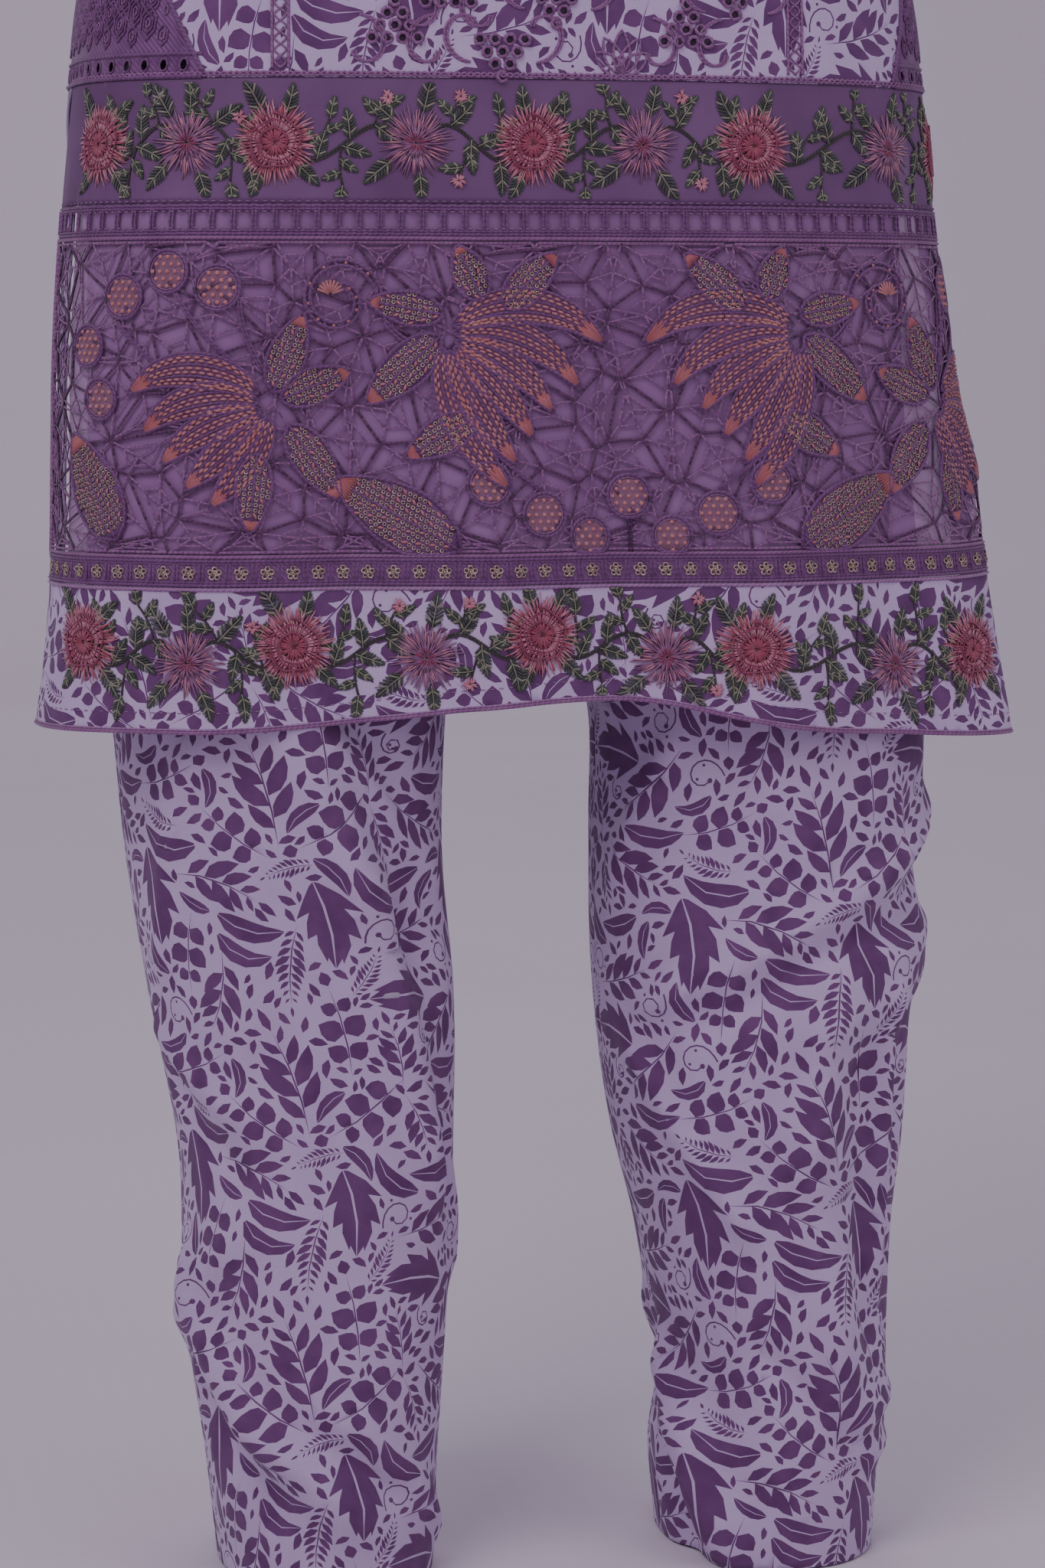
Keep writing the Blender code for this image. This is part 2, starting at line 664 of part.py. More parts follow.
def close_small_gaps(flat, faces, open_ground, smallest):
    """Fills gaps of less area than the smallest one worth cutting."""
    corners = flat[faces]
    ab = corners[:, 1] - corners[:, 0]
    ac = corners[:, 2] - corners[:, 0]
    area = 0.5 * np.abs(ab[:, 0] * ac[:, 1] - ab[:, 1] * ac[:, 0])
    by_edge = {}
    for index in np.flatnonzero(open_ground):
        for a, b in zip(faces[index], np.roll(faces[index], -1)):
            by_edge.setdefault((min(a, b), max(a, b)), []).append(index)
    neighbours = {index: set() for index in np.flatnonzero(open_ground)}
    for sharing in by_edge.values():
        for index in sharing:
            neighbours[index].update(sharing)
    waiting = set(neighbours)
    while waiting:
        group = set()
        front = [waiting.pop()]
        while front:
            index = front.pop()
            group.add(index)
            fresh = neighbours[index] & waiting
            waiting -= fresh
            front += fresh
        if area[list(group)].sum() < smallest:
            open_ground[list(group)] = False


def close_pinches(faces, open_ground):
    """Fills the ground round a point where two gaps would meet, so the wall keeps some width there."""
    while True:
        border = {}
        for face in faces[~open_ground]:
            for a, b in zip(face, np.roll(face, -1)):
                key = (min(a, b), max(a, b))
                border[key] = border.get(key, 0) + 1
        ends = [point for edge, uses in border.items() if uses == 1 for point in edge]
        points, uses = np.unique(ends, return_counts=True)
        pinched = points[uses > 2]
        touching = np.isin(faces, pinched).any(axis=1) & open_ground
        if not touching.any():
            return
        open_ground[touching] = False


def pierced_surface(outline, gaps, islands=(), smallest=SMALL_GAP_AREA):
    """Flat triangles of a cloth with a convex outline and gaps cut out of it, except where an island lies."""
    points = []
    edges = []
    for polygon in [outline, *gaps, *islands]:
        first = len(points)
        points += [Vector((float(x), float(y))) for x, y in polygon]
        edges += [(first + i, first + (i + 1) % len(polygon)) for i in range(len(polygon))]
    flat, _, faces, _, _, _ = delaunay_2d_cdt(points, edges, [], 0, CLOSEST_POINTS)
    flat = np.array([(point.x, point.y) for point in flat])
    faces = np.array(faces)
    middles = flat[faces].mean(axis=1)
    faces = faces[inside(middles, np.array(outline))]
    middles = flat[faces].mean(axis=1)
    open_ground = np.zeros(len(faces), bool)
    for gap in gaps:
        open_ground |= inside(middles, gap)
    for island in islands:
        open_ground &= ~inside(middles, island)
    close_small_gaps(flat, faces, open_ground, smallest)
    close_pinches(faces, open_ground)
    return flat, faces[~open_ground]


def pierced_panel(name, kind, wall, collection, surface, bends, place):
    """A wall with gaps cut through: flat triangles, with a row of points where it bends, put in place."""
    flat, faces = surface
    bm = bmesh.new()
    verts = [bm.verts.new((x, y, 0.0)) for x, y in flat]
    for face in faces:
        bm.faces.new([verts[i] for i in face])
    loose = [vert for vert in bm.verts if not vert.link_faces]
    bmesh.ops.delete(bm, geom=loose, context="VERTS")
    if bends:
        bmesh.ops.dissolve_limit(bm, angle_limit=FLAT_ANGLE, verts=bm.verts, edges=bm.edges)
    for point, normal in bends:
        geometry = bm.verts[:] + bm.edges[:] + bm.faces[:]
        bmesh.ops.bisect_plane(bm, geom=geometry, dist=CLOSEST_POINTS, plane_co=point, plane_no=normal)
    bmesh.ops.triangulate(bm, faces=bm.faces)
    x = np.array([vert.co.x for vert in bm.verts])
    y = np.array([vert.co.y for vert in bm.verts])
    for vert, point in zip(bm.verts, place(x, y)):
        vert.co = Vector(point)
    return object_from(bm, name, kind, wall, collection)


def upright_bends(places):
    """Upright lines where a flat piece bends round the body, as a point and a direction each."""
    return [((x, 0.0, 0.0), (1.0, 0.0, 0.0)) for x in places[1:-1]]


def level_bends(places):
    return [((0.0, y, 0.0), (0.0, 1.0, 0.0)) for y in places[1:-1]]


def rectangle(low_x, low_y, high_x, high_y):
    return np.array([(low_x, low_y), (high_x, low_y), (high_x, high_y), (low_x, high_y)])


def lace_surface(half, height):
    """The cutwork band laid flat: a web of cords with the motifs lying over it."""
    outline = rectangle(-half, 0.0, half, height)
    gaps = web_gaps(-half + BAND_EDGE, half - BAND_EDGE, BAND_EDGE, height - BAND_EDGE)
    margin = BAND_EDGE / 2
    lowest = [-half + margin, margin]
    highest = [half - margin, height - margin]
    motifs = [np.clip(motif, lowest, highest) for motif in lace_motifs()]
    return pierced_surface(outline, gaps, motifs, WEB_GAP_AREA)


def ladder_surface(half, height):
    """The ladder laid flat: two rails with a rung at every step, and the steps cut out."""
    steps = int(2 * (half - BAND_EDGE) / RUNG_PITCH)
    first = -steps * RUNG_PITCH / 2
    gaps = []
    for i in range(steps):
        start = first + i * RUNG_PITCH + RUNG_WIDTH / 2
        gaps.append(rectangle(start, RAIL_WIDTH, start + RUNG_PITCH - RUNG_WIDTH, height - RAIL_WIDTH))
    edge = flap_shares() * half
    lower = np.stack([edge, 0 * edge], -1)
    upper = np.stack([edge[::-1], 0 * edge + height], -1)
    return pierced_surface(np.concatenate([lower, upper]), gaps)


def gore_surface():
    """A gore laid flat: a triangle with a row of open loops along its lower edge."""
    rise = GORE_TOP - HIP_SEAM
    top = 1.0 - GORE_TIP / rise
    near = GORE_NEAR - HALF_SEAM - SIDE_SEAM / 2
    far = GORE_FAR - HALF_SEAM - SIDE_SEAM / 2
    low = HALF_SEAM
    tip_near = -near * (1 - top)
    tip_far = far * (1 - top)
    outline = np.array([(-near, low), (far, low), (tip_far, rise * top), (tip_near, rise * top)])
    gaps = []
    count = int((near + far) / LOOP_PITCH) - 1
    for i in range(count):
        middle = -near + (i + 1) * LOOP_PITCH
        half = LOOP_WIDTH / 2
        foot = low + LOOP_FOOT
        shoulder = foot + LOOP_HEIGHT - half
        gaps.append(np.array([
            (middle - half, foot),
            (middle + half, foot),
            (middle + half, shoulder),
            (middle, foot + LOOP_HEIGHT),
            (middle - half, shoulder),
        ]))
    return pierced_surface(outline, gaps)


def build_sleeve(name, side, front, back, collection):
    """A tube from the armhole's loop, through its rings, to an open end below the elbow."""
    bm = bmesh.new()
    bmesh.ops.create_grid(bm, x_segments=2 * ARMHOLE_STEPS, y_segments=len(SLEEVE), size=1.0)
    turn = np.linspace(0.0, 2 * math.pi, 2 * ARMHOLE_STEPS + 1)
    down = 1 - np.abs(1 - turn / math.pi)
    cloth = UNDERARM + YOKE_CLOTH * (1 - down)
    on_front = turn <= math.pi
    front_loop = front.at(side * armhole_edge(front, cloth), cloth)
    back_loop = back.at(-side * armhole_edge(back, cloth), cloth)
    armhole = np.where(on_front[:, None], front_loop, back_loop)
    armhole[:, 0] += side * (ARMHOLE_GAP + UNDERARM_GAP * down**UNDERARM_FADE)
    rings = [armhole]
    for row in SLEEVE:
        middle_x = (row.inner_x + row.outer_x) / 2
        middle_z = (row.inner_height + row.outer_height) / 2
        x = middle_x + (row.outer_x - row.inner_x) / 2 * np.cos(turn)
        z = middle_z + (row.outer_height - row.inner_height) / 2 * np.cos(turn) - SHOULDER
        ring = np.stack([side * x, -row.half_depth * np.sin(turn), z], -1)
        rings.append(ring * row.share + armhole * (1 - row.share))
    rings = np.array(rings)
    for vert in bm.verts:
        column = int(round((vert.co.x + 1) / 2 * 2 * ARMHOLE_STEPS))
        row = int(round((1 - vert.co.y) / 2 * len(SLEEVE)))
        vert.co = Vector(rings[row, column])
    bmesh.ops.remove_doubles(bm, verts=bm.verts, dist=1e-5)
    if side > 0:
        bmesh.ops.reverse_faces(bm, faces=bm.faces)
    return object_from(bm, name, "print", COTTON_WALL, collection)


def edge_at(edge, share=1.0):
    """An edge at a share of another one's distance from the middle; below 0 is the other side."""
    return lambda height: share * edge(height)


def flap_edge(front):
    """The front flap's edge: cloth from its middle to the slit."""
    return lambda height: front.reach_at(height) - FRONT_SLIT


def tail_edge(back):
    """The back skirt's edge, whose slits open downward."""

    def edge(height):
        opened = np.clip((HIP_SEAM - height) / (HIP_SEAM - BACK_SLIT_OPEN), 0.0, 1.0) ** BACK_SLIT_ROUND
        return back.reach_at(height) - FRONT_SLIT - BACK_SLIT * opened

    return edge


def front_hem(flap):
    """The front hem's line, by share of the flap's width."""
    drop = smooth_curve([row.across for row in FRONT_HEM], [row.drop for row in FRONT_HEM])
    half = float(flap(KAMEEZ_HEM))
    return lambda share: KAMEEZ_HEM - drop(share * half)


def build_bodies(front, back, collection):
    """The printed front and back, from the hip seam to the neck and shoulders."""
    for name, sheet, neck_drop in (("front_body", front, FRONT_NECK_DROP), ("back_body", back, BACK_NECK_DROP)):
        left = edge_at(body_edge(sheet, GORE_FAR), -1.0)
        right = body_edge(sheet, GORE_NEAR)
        neck = neck_and_shoulders(neck_drop)
        shares = even_shares(BODY_COLUMNS)
        low = level(HIP_SEAM)
        panel(name, "print", COTTON_WALL, collection, sheet, left, right, low, neck, shares, body_rises())


def build_gores(front, back, collection):
    """The two lace gores, which bend round the sides."""
    gore = gore_surface()
    bends = upright_bends(np.linspace(-GORE_NEAR, GORE_FAR, GORE_COLUMNS + 1))
    bends += level_bends(np.linspace(0.0, GORE_TOP - HIP_SEAM, GORE_ROWS + 1))
    for name, side in (("side_gore_left", -1), ("side_gore_right", 1)):
        pierced_panel(name, "lace", LACE_WALL, collection, gore, bends, gore_place(front, back, side))


def build_flap(front, flap, collection):
    """The borders of the front flap, from the hip seam down."""
    left = edge_at(flap, -1.0)
    shares = flap_shares()
    strips = (
        ("organza_band", "organza", LACE_WALL, level(ORGANZA_LOW), HIP_SEAM, ORGANZA_ROWS),
        ("sequin_strip", "sequins", LACE_WALL, level(SEQUIN_LOW), CUTWORK_LOW, SEQUIN_ROWS),
        ("hem_band", "print", COTTON_WALL, front_hem(flap), SEQUIN_LOW, HEM_ROWS),
    )
    for name, kind, wall, low, high, rows in strips:
        panel(name, kind, wall, collection, front, left, flap, low, level(high), shares, even_rises(rows))

    half, height = band_size(flap, LADDER_LOW, ORGANZA_LOW)
    place = band_place(front, flap, half, LADDER_LOW + HALF_SEAM)
    pierced_panel("ladder_band", "lace", LACE_WALL, collection, ladder_surface(half, height), [], place)

    half, height = band_size(flap, CUTWORK_LOW, LADDER_LOW)
    place = band_place(front, flap, half, CUTWORK_LOW + HALF_SEAM)
    bends = upright_bends(lace_bend_shares() * half) + level_bends(np.linspace(0.0, height, LACE_ROWS + 1))
    pierced_panel("cutwork_band", "lace", LACE_WALL, collection, lace_surface(half, height), bends, place)


def build_facings(front, flap, collection):
    """The printed strips behind the flap's two slit edges."""
    shares = flap_shares()
    inner = shares[-1 - FACING_COLUMNS]
    columns = 2 * (shares[-1 - FACING_COLUMNS:] - inner) / (1 - inner) - 1
    rows = (
        ("slit_facing_right", edge_at(flap, inner), flap, columns),
        ("slit_facing_left", edge_at(flap, -1.0), edge_at(flap, -inner), -columns[::-1]),
    )
    low = level(SEQUIN_LOW)
    high = level(HIP_SEAM)
    rises = even_rises(FACING_ROWS)
    for name, left, right, places in rows:
        inset = -FACING_INSET
        panel(name, "print", COTTON_WALL, collection, front, left, right, low, high, places, rises, inset)


def build_back_skirt(back, collection):
    """The printed skirt that hangs from the back's hip seam."""
    tail = tail_edge(back)
    left = edge_at(tail, -1.0)
    low = level(KAMEEZ_HEM)
    high = level(HIP_SEAM)
    shares = flap_shares()
    rises = even_rises(SKIRT_ROWS)
    panel("back_skirt", "print", COTTON_WALL, collection, back, left, tail, low, high, shares, rises)


def build_kameez(collection):
    """The kameez: body, gores, sleeves, the front flap's borders, and the back skirt."""
    front = kameez_sheet(back=False)
    back = kameez_sheet(back=True)
    flap = flap_edge(front)
    build_bodies(front, back, collection)
    build_gores(front, back, collection)
    build_sleeve("sleeve_left", -1, front, back, collection)
    build_sleeve("sleeve_right", 1, front, back, collection)
    build_flap(front, flap, collection)
    build_facings(front, flap, collection)
    build_back_skirt(back, collection)


def band_size(edge, low, high):
    """Half the width and the height of a band of the flap, laid flat."""
    return float(edge((low + high) / 2)), high - low - 2 * HALF_SEAM


def lace_bend_shares():
    """The flap's columns where it turns round the sides, and every second one between."""
    shares = flap_shares()
    turning = np.abs(shares) > LACE_TURNING
    return shares[turning | (np.arange(len(shares)) % 2 == 0)]


def neck_and_shoulders(drop):
    """The upper edge of a body panel: the neck's curve, then the shoulder seam."""
    seam = UNDERARM + YOKE_CLOTH
    roll = math.asin((SHOULDER - drop - UNDERARM) / (SHOULDER - UNDERARM))
    lowest = UNDERARM + YOKE_CLOTH * roll / (math.pi / 2)
    return lambda share: lowest + (seam - lowest) * np.clip(np.abs(share) / NECK_SHARE, 0.0, 1.0) ** NECK_ROUND


def band_place(sheet, edge, half, low):
    """Puts a flat band on its sheet, its ends at the flap's edges at every height."""
    return lambda x, y: sheet.at(x / half * edge(low + y), low + y)


def gore_place(front, back, side):
    """Puts a flat gore round the side line, part on the front's surface and part on the back's."""

    def place(x, y):
        height = HIP_SEAM + y
        across = front.reach_at(height) - np.abs(x)
        on_front = x * side <= 0
        return np.where(on_front[:, None], front.at(side * across, height), back.at(-side * across, height))

    return place


def leg_edge(sheet):
    """A trouser panel's edge, half a seam short of its reach."""
    return lambda height: sheet.reach_at(height) - SIDE_SEAM / 2


def build_trousers(collection):
    """Two legs of two panels each, that meet at the crotch seam."""
    for side_name, side in (("left", -1), ("right", 1)):
        for face_name, back in (("front", False), ("back", True)):
            sheet = trouser_sheet(side, back)
            right = leg_edge(sheet)
            left = edge_at(right, -1.0)
            rises = even_rises(BACK_LEG_ROWS if back else FRONT_LEG_ROWS) ** LEG_ROW_GRADE
            name = f"trouser_{face_name}_{side_name}"
            low = level(TROUSER_HEM)
            high = level(WAIST)
            shares = even_shares(LEG_COLUMNS)
            panel(name, "print", COTTON_WALL, collection, sheet, left, right, low, high, shares, rises)


def main():
    for obj in list(bpy.data.objects):
        bpy.data.objects.remove(obj)
    collection = bpy.data.collections.new("salwar_suit")
    bpy.context.scene.collection.children.link(collection)
    build_kameez(collection)
    build_trousers(collection)


main()
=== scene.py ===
"""Looks of a salwar suit: printed kameez with lace gores and lace hem borders, and printed trousers.

Every cloth piece is a thin shell on the surface that its solid was cut from. A surface is read by
cloth across it and by height up it, in metres; thread, cords and sequins lie on it in the same flat
sizes. Left and right are the viewer's.
"""

import logging
import math
import random
from collections.abc import Callable, Sequence
from dataclasses import dataclass, field
from enum import Enum

import bpy
import numpy as np
from mathutils import Euler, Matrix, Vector
from mathutils.geometry import delaunay_2d_cdt


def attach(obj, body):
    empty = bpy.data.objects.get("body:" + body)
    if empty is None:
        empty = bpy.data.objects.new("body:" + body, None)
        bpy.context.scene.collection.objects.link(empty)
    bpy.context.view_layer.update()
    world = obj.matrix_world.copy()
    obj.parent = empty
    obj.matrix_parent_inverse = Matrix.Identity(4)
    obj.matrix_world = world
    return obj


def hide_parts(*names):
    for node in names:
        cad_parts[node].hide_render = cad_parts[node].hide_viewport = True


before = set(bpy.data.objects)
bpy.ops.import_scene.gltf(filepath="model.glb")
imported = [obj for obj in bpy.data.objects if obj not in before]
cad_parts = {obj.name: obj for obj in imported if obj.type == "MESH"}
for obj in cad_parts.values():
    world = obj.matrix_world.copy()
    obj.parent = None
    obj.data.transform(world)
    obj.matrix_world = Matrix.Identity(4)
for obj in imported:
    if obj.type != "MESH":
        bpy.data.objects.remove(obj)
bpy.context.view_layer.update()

LOG = logging.getLogger("salwar_suit")
BODY = "root"

# Heights above the trouser hem; the origin is the middle of the shoulder line
SHOULDER = 1.475
UNDERARM = 1.33
GORE_TOP = 1.09
HIP_SEAM = 0.885
ORGANZA_LOW = 0.815
LADDER_LOW = 0.797
CUTWORK_LOW = 0.615
SEQUIN_LOW = 0.599
KAMEEZ_HEM = 0.514
CROTCH = 0.715
CROTCH_TOP = 0.80
WAIST = 1.03

COTTON_WALL = 0.0006
HALF_SEAM = 0.00015
SIDE_SEAM = 0.0006
RISE_GAP = 0.0008
NECK_HALF = 0.095
SHOULDER_SLOPE = 0.40
SHOULDER_GAP = 0.0003
YOKE_CLOTH = 0.19
FRONT_NECK_DROP = 0.10
BACK_NECK_DROP = 0.02
NECK_SHARE = 3 / 7
NECK_ROUND = 2.0
GORE_NEAR = 0.105
GORE_FAR = 0.135
FRONT_SLIT = 0.006
BACK_SLIT = 0.085
BACK_SLIT_OPEN = 0.80
FACING_SHARE = 0.923
FACING_INSET = 0.0028

LATTICE_COLUMNS = 129
LATTICE_STEP = 0.004
ARC_STEPS = 600
# Just over 1, so that a reading at the lattice's far edge stays inside its last cell
LAST_CELL = 1.000001
# Added to a length before it divides
NO_LENGTH = 1e-12
# Points nearer than this are one point
SAME_PLACE = 1e-6
# A fold fades beyond its ends over this many times its width
FOLD_FADE = 1.5
# The share of a trouser panel's width, at each side seam, that is free of folds
LEG_FADE = 0.08
CREASE = 0.0105
# The length of a Wave Texture's band at scale 1
WAVE_BAND = 0.314


@dataclass(frozen=True)
class Section:
    """A level ring of a garment."""

    height: float
    half_width: float
    half_depth: float
    centre_x: float
    squareness: float


@dataclass(frozen=True)
class Fold:
    """A soft ridge, or a trough where depth is below 0; across is a share of the sheet's reach."""

    depth: float
    width: float
    start_across: float
    start_height: float
    end_across: float
    end_height: float


@dataclass(frozen=True)
class SleeveRing:
    """A ring of a sleeve between its body side and its outer side."""

    inner_x: float
    inner_height: float
    outer_x: float
    outer_height: float
    half_depth: float
    share: float


KAMEEZ = [
    Section(0.47, 0.3010, 0.117, 0.0150, 3.1),
    Section(0.51, 0.2940, 0.118, 0.0135, 3.1),
    Section(0.55, 0.2865, 0.119, 0.0118, 3.1),
    Section(0.60, 0.2795, 0.120, 0.0093, 3.1),
    Section(0.67, 0.2745, 0.122, 0.0064, 3.0),
    Section(0.73, 0.2705, 0.124, 0.0039, 3.0),
    Section(0.80, 0.2625, 0.128, 0.0005, 2.9),
    Section(0.885, 0.2535, 0.132, 0.0, 2.8),
    Section(0.94, 0.2470, 0.133, 0.0, 2.6),
    Section(1.02, 0.2260, 0.127, 0.0, 2.4),
    Section(1.10, 0.2040, 0.118, 0.0, 2.3),
    Section(1.18, 0.2020, 0.122, 0.0, 2.3),
    Section(1.26, 0.2110, 0.132, 0.0, 2.3),
    Section(1.33, 0.2060, 0.126, 0.0, 2.3),
]
LEFT_LEG = [
    Section(0.0, 0.0640, 0.093, -0.1095, 2.2),
    Section(0.063, 0.0690, 0.094, -0.1114, 2.2),
    Section(0.151, 0.0780, 0.095, -0.1144, 2.2),
    Section(0.254, 0.0820, 0.095, -0.1136, 2.2),
    Section(0.35, 0.0910, 0.096, -0.1220, 2.2),
    Section(0.435, 0.0940, 0.098, -0.1320, 2.2),
    Section(0.511, 0.0985, 0.100, -0.1345, 2.2),
    Section(0.60, 0.1080, 0.104, -0.1350, 2.2),
    Section(0.715, 0.1215, 0.110, -0.1238, 2.3),
    Section(0.80, 0.1215, 0.112, -0.1238, 2.3),
]
RIGHT_LEG = [
    Section(0.0, 0.0640, 0.093, 0.1680, 2.2),
    Section(0.055, 0.0680, 0.094, 0.1675, 2.2),
    Section(0.106, 0.0665, 0.095, 0.1730, 2.2),
    Section(0.155, 0.0725, 0.095, 0.1690, 2.2),
    Section(0.202, 0.0780, 0.095, 0.1657, 2.2),
    Section(0.248, 0.0870, 0.095, 0.1626, 2.2),
    Section(0.35, 0.0970, 0.096, 0.1585, 2.2),
    Section(0.448, 0.1005, 0.098, 0.1600, 2.2),
    Section(0.511, 0.1015, 0.100, 0.1608, 2.2),
    Section(0.60, 0.1110, 0.104, 0.1470, 2.2),
    Section(0.715, 0.1215, 0.110, 0.1238, 2.3),
    Section(0.80, 0.1215, 0.112, 0.1238, 2.3),
]
HIP = [
    Section(0.715, 0.2445, 0.110, 0.0, 2.4),
    Section(0.80, 0.2430, 0.113, 0.0, 2.4),
    Section(0.86, 0.2330, 0.114, 0.0, 2.4),
    Section(0.95, 0.1980, 0.108, 0.0, 2.3),
    Section(1.00, 0.1720, 0.103, 0.0, 2.2),
    Section(1.03, 0.1600, 0.100, 0.0, 2.1),
]
FRONT_HEM_ACROSS = [-0.36, -0.27, -0.18, -0.10, -0.05, 0.07, 0.10, 0.15, 0.22, 0.30, 0.36]
FRONT_HEM_DROP = [0.000, -0.001, -0.002, -0.008, -0.013, -0.013, -0.006, 0.003, 0.008, 0.013, 0.015]

KAMEEZ_FOLDS = [
    Fold(0.007, 0.030, -0.56, 0.76, -0.60, 0.48),
    Fold(-0.006, 0.026, -0.33, 0.70, -0.36, 0.48),
    Fold(0.006, 0.024, -0.12, 0.80, -0.10, 0.48),
    Fold(-0.005, 0.022, 0.10, 0.72, 0.12, 0.48),
    Fold(0.007, 0.028, 0.36, 0.78, 0.38, 0.48),
    Fold(-0.006, 0.024, 0.62, 0.70, 0.60, 0.48),
    Fold(0.008, 0.022, 0.86, 0.66, 0.84, 0.48),
]
BACK_FOLDS = [
    Fold(0.008, 0.030, -0.62, 0.86, -0.66, 0.48),
    Fold(-0.006, 0.028, -0.34, 0.80, -0.36, 0.48),
    Fold(0.007, 0.030, 0.02, 0.92, 0.00, 0.48),
    Fold(-0.006, 0.026, 0.32, 0.78, 0.36, 0.48),
    Fold(0.008, 0.028, 0.60, 0.84, 0.64, 0.48),
]
LEFT_LEG_FOLDS = [
    Fold(0.010, 0.020, -0.10, 0.53, 0.20, 0.42),
    Fold(0.010, 0.018, 0.20, 0.42, 0.44, 0.25),
    Fold(-0.009, 0.018, 0.14, 0.53, 0.44, 0.40),
    Fold(-0.009, 0.016, 0.44, 0.40, 0.60, 0.25),
    Fold(0.006, 0.016, -0.52, 0.206, -0.90, 0.160),
    Fold(0.008, 0.016, -0.80, 0.152, -0.34, 0.096),
    Fold(0.008, 0.016, -0.34, 0.096, -0.02, 0.055),
    Fold(-0.008, 0.014, -0.86, 0.110, -0.36, 0.060),
]
RIGHT_LEG_FOLDS = [
    Fold(-0.007, 0.026, -0.30, 0.48, -0.20, 0.40),
    Fold(0.008, 0.018, 0.87, 0.365, 0.15, 0.335),
    Fold(0.009, 0.018, 0.15, 0.335, 0.04, 0.265),
    Fold(0.009, 0.018, 0.04, 0.265, 0.14, 0.130),
    Fold(-0.008, 0.016, 0.36, 0.300, 0.34, 0.150),
    Fold(0.010, 0.014, -0.98, 0.120, -0.60, 0.078),
    Fold(0.009, 0.014, -0.60, 0.078, -0.34, 0.010),
    Fold(-0.008, 0.014, -0.86, 0.062, -0.66, 0.010),
    Fold(0.005, 0.009, 0.30, 0.088, 0.70, 0.094),
    Fold(0.005, 0.009, 0.34, 0.062, 0.74, 0.064),
]
BACK_LEG_FOLDS = [
    Fold(0.008, 0.022, 0.30, 0.66, -0.10, 0.45),
    Fold(-0.007, 0.020, -0.30, 0.48, 0.10, 0.30),
    Fold(0.008, 0.018, 0.20, 0.26, -0.20, 0.12),
    Fold(0.007, 0.014, -0.60, 0.10, 0.30, 0.05),
]
SLEEVE = [
    SleeveRing(0.2120, 1.312, 0.235, 1.428, 0.066, 0.55),
    SleeveRing(0.2150, 1.285, 0.285, 1.385, 0.072, 1.0),
    SleeveRing(0.2190, 1.240, 0.322, 1.310, 0.071, 1.0),
    SleeveRing(0.2240, 1.190, 0.341, 1.225, 0.066, 1.0),
    SleeveRing(0.2310, 1.130, 0.353, 1.148, 0.061, 1.0),
    SleeveRing(0.2390, 1.070, 0.362, 1.078, 0.057, 1.0),
]
ARMHOLE_GAP = 0.0012
UNDERARM_GAP = 0.0006

Curve = Callable[[np.ndarray], np.ndarray]
Placed = tuple[np.ndarray, np.ndarray]
Place = Callable[[np.ndarray, np.ndarray, np.ndarray | float], Placed]


def smooth_curve(knots: Sequence[float], values: Sequence[float]) -> Curve:
    """A smooth function through values at knots.

    Args:
        knots: rising positions.
        values: the value at each.

    Returns:
        A function that reads an array of positions.
    """
    at_knots = np.asarray(knots, float)
    heights = np.asarray(values, float)
    slopes = np.gradient(heights, at_knots)

    def read(at: np.ndarray) -> np.ndarray:
        """Reads the curve."""
        at = np.clip(at, at_knots[0], at_knots[-1])
        i = np.clip(np.searchsorted(at_knots, at, side="right") - 1, 0, len(at_knots) - 2)
        step = at_knots[i + 1] - at_knots[i]
        t = (at - at_knots[i]) / step
        rise = heights[i + 1] - heights[i]
        leave = slopes[i] * step
        arrive = slopes[i + 1] * step
        square = 3 * rise - 2 * leave - arrive
        cube = leave + arrive - 2 * rise
        return heights[i] + t * (leave + t * (square + t * cube))

    return read


def section_reader(rows: Sequence[Section]) -> Callable[[float], Section]:
    """A function that gives the section at any height of a table.

    Args:
        rows: the table.

    Returns:
        The reader.
    """
    heights = [row.height for row in rows]
    names = ("half_width", "half_depth", "centre_x", "squareness")
    curves = [smooth_curve(heights, [getattr(row, name) for row in rows]) for name in names]
    return lambda height: Section(height, *(float(curve(height)) for curve in curves))


def quarter_ring(section: Section) -> tuple[np.ndarray, np.ndarray, np.ndarray]:
    """A rounded ring from its front middle to its side.

    Args:
        section: the ring's sizes.

    Returns:
        Its x, its y, and the cloth used so far.
    """
    angle = np.linspace(0.0, math.pi / 2, ARC_STEPS)
    power = 2.0 / section.squareness
    x = section.half_width * np.sin(angle) ** power
    y = -section.half_depth * np.abs(np.cos(angle)) ** power
    steps = np.hypot(np.diff(x), np.diff(y))
    return x, y, np.concatenate([[0.0], np.cumsum(steps)])


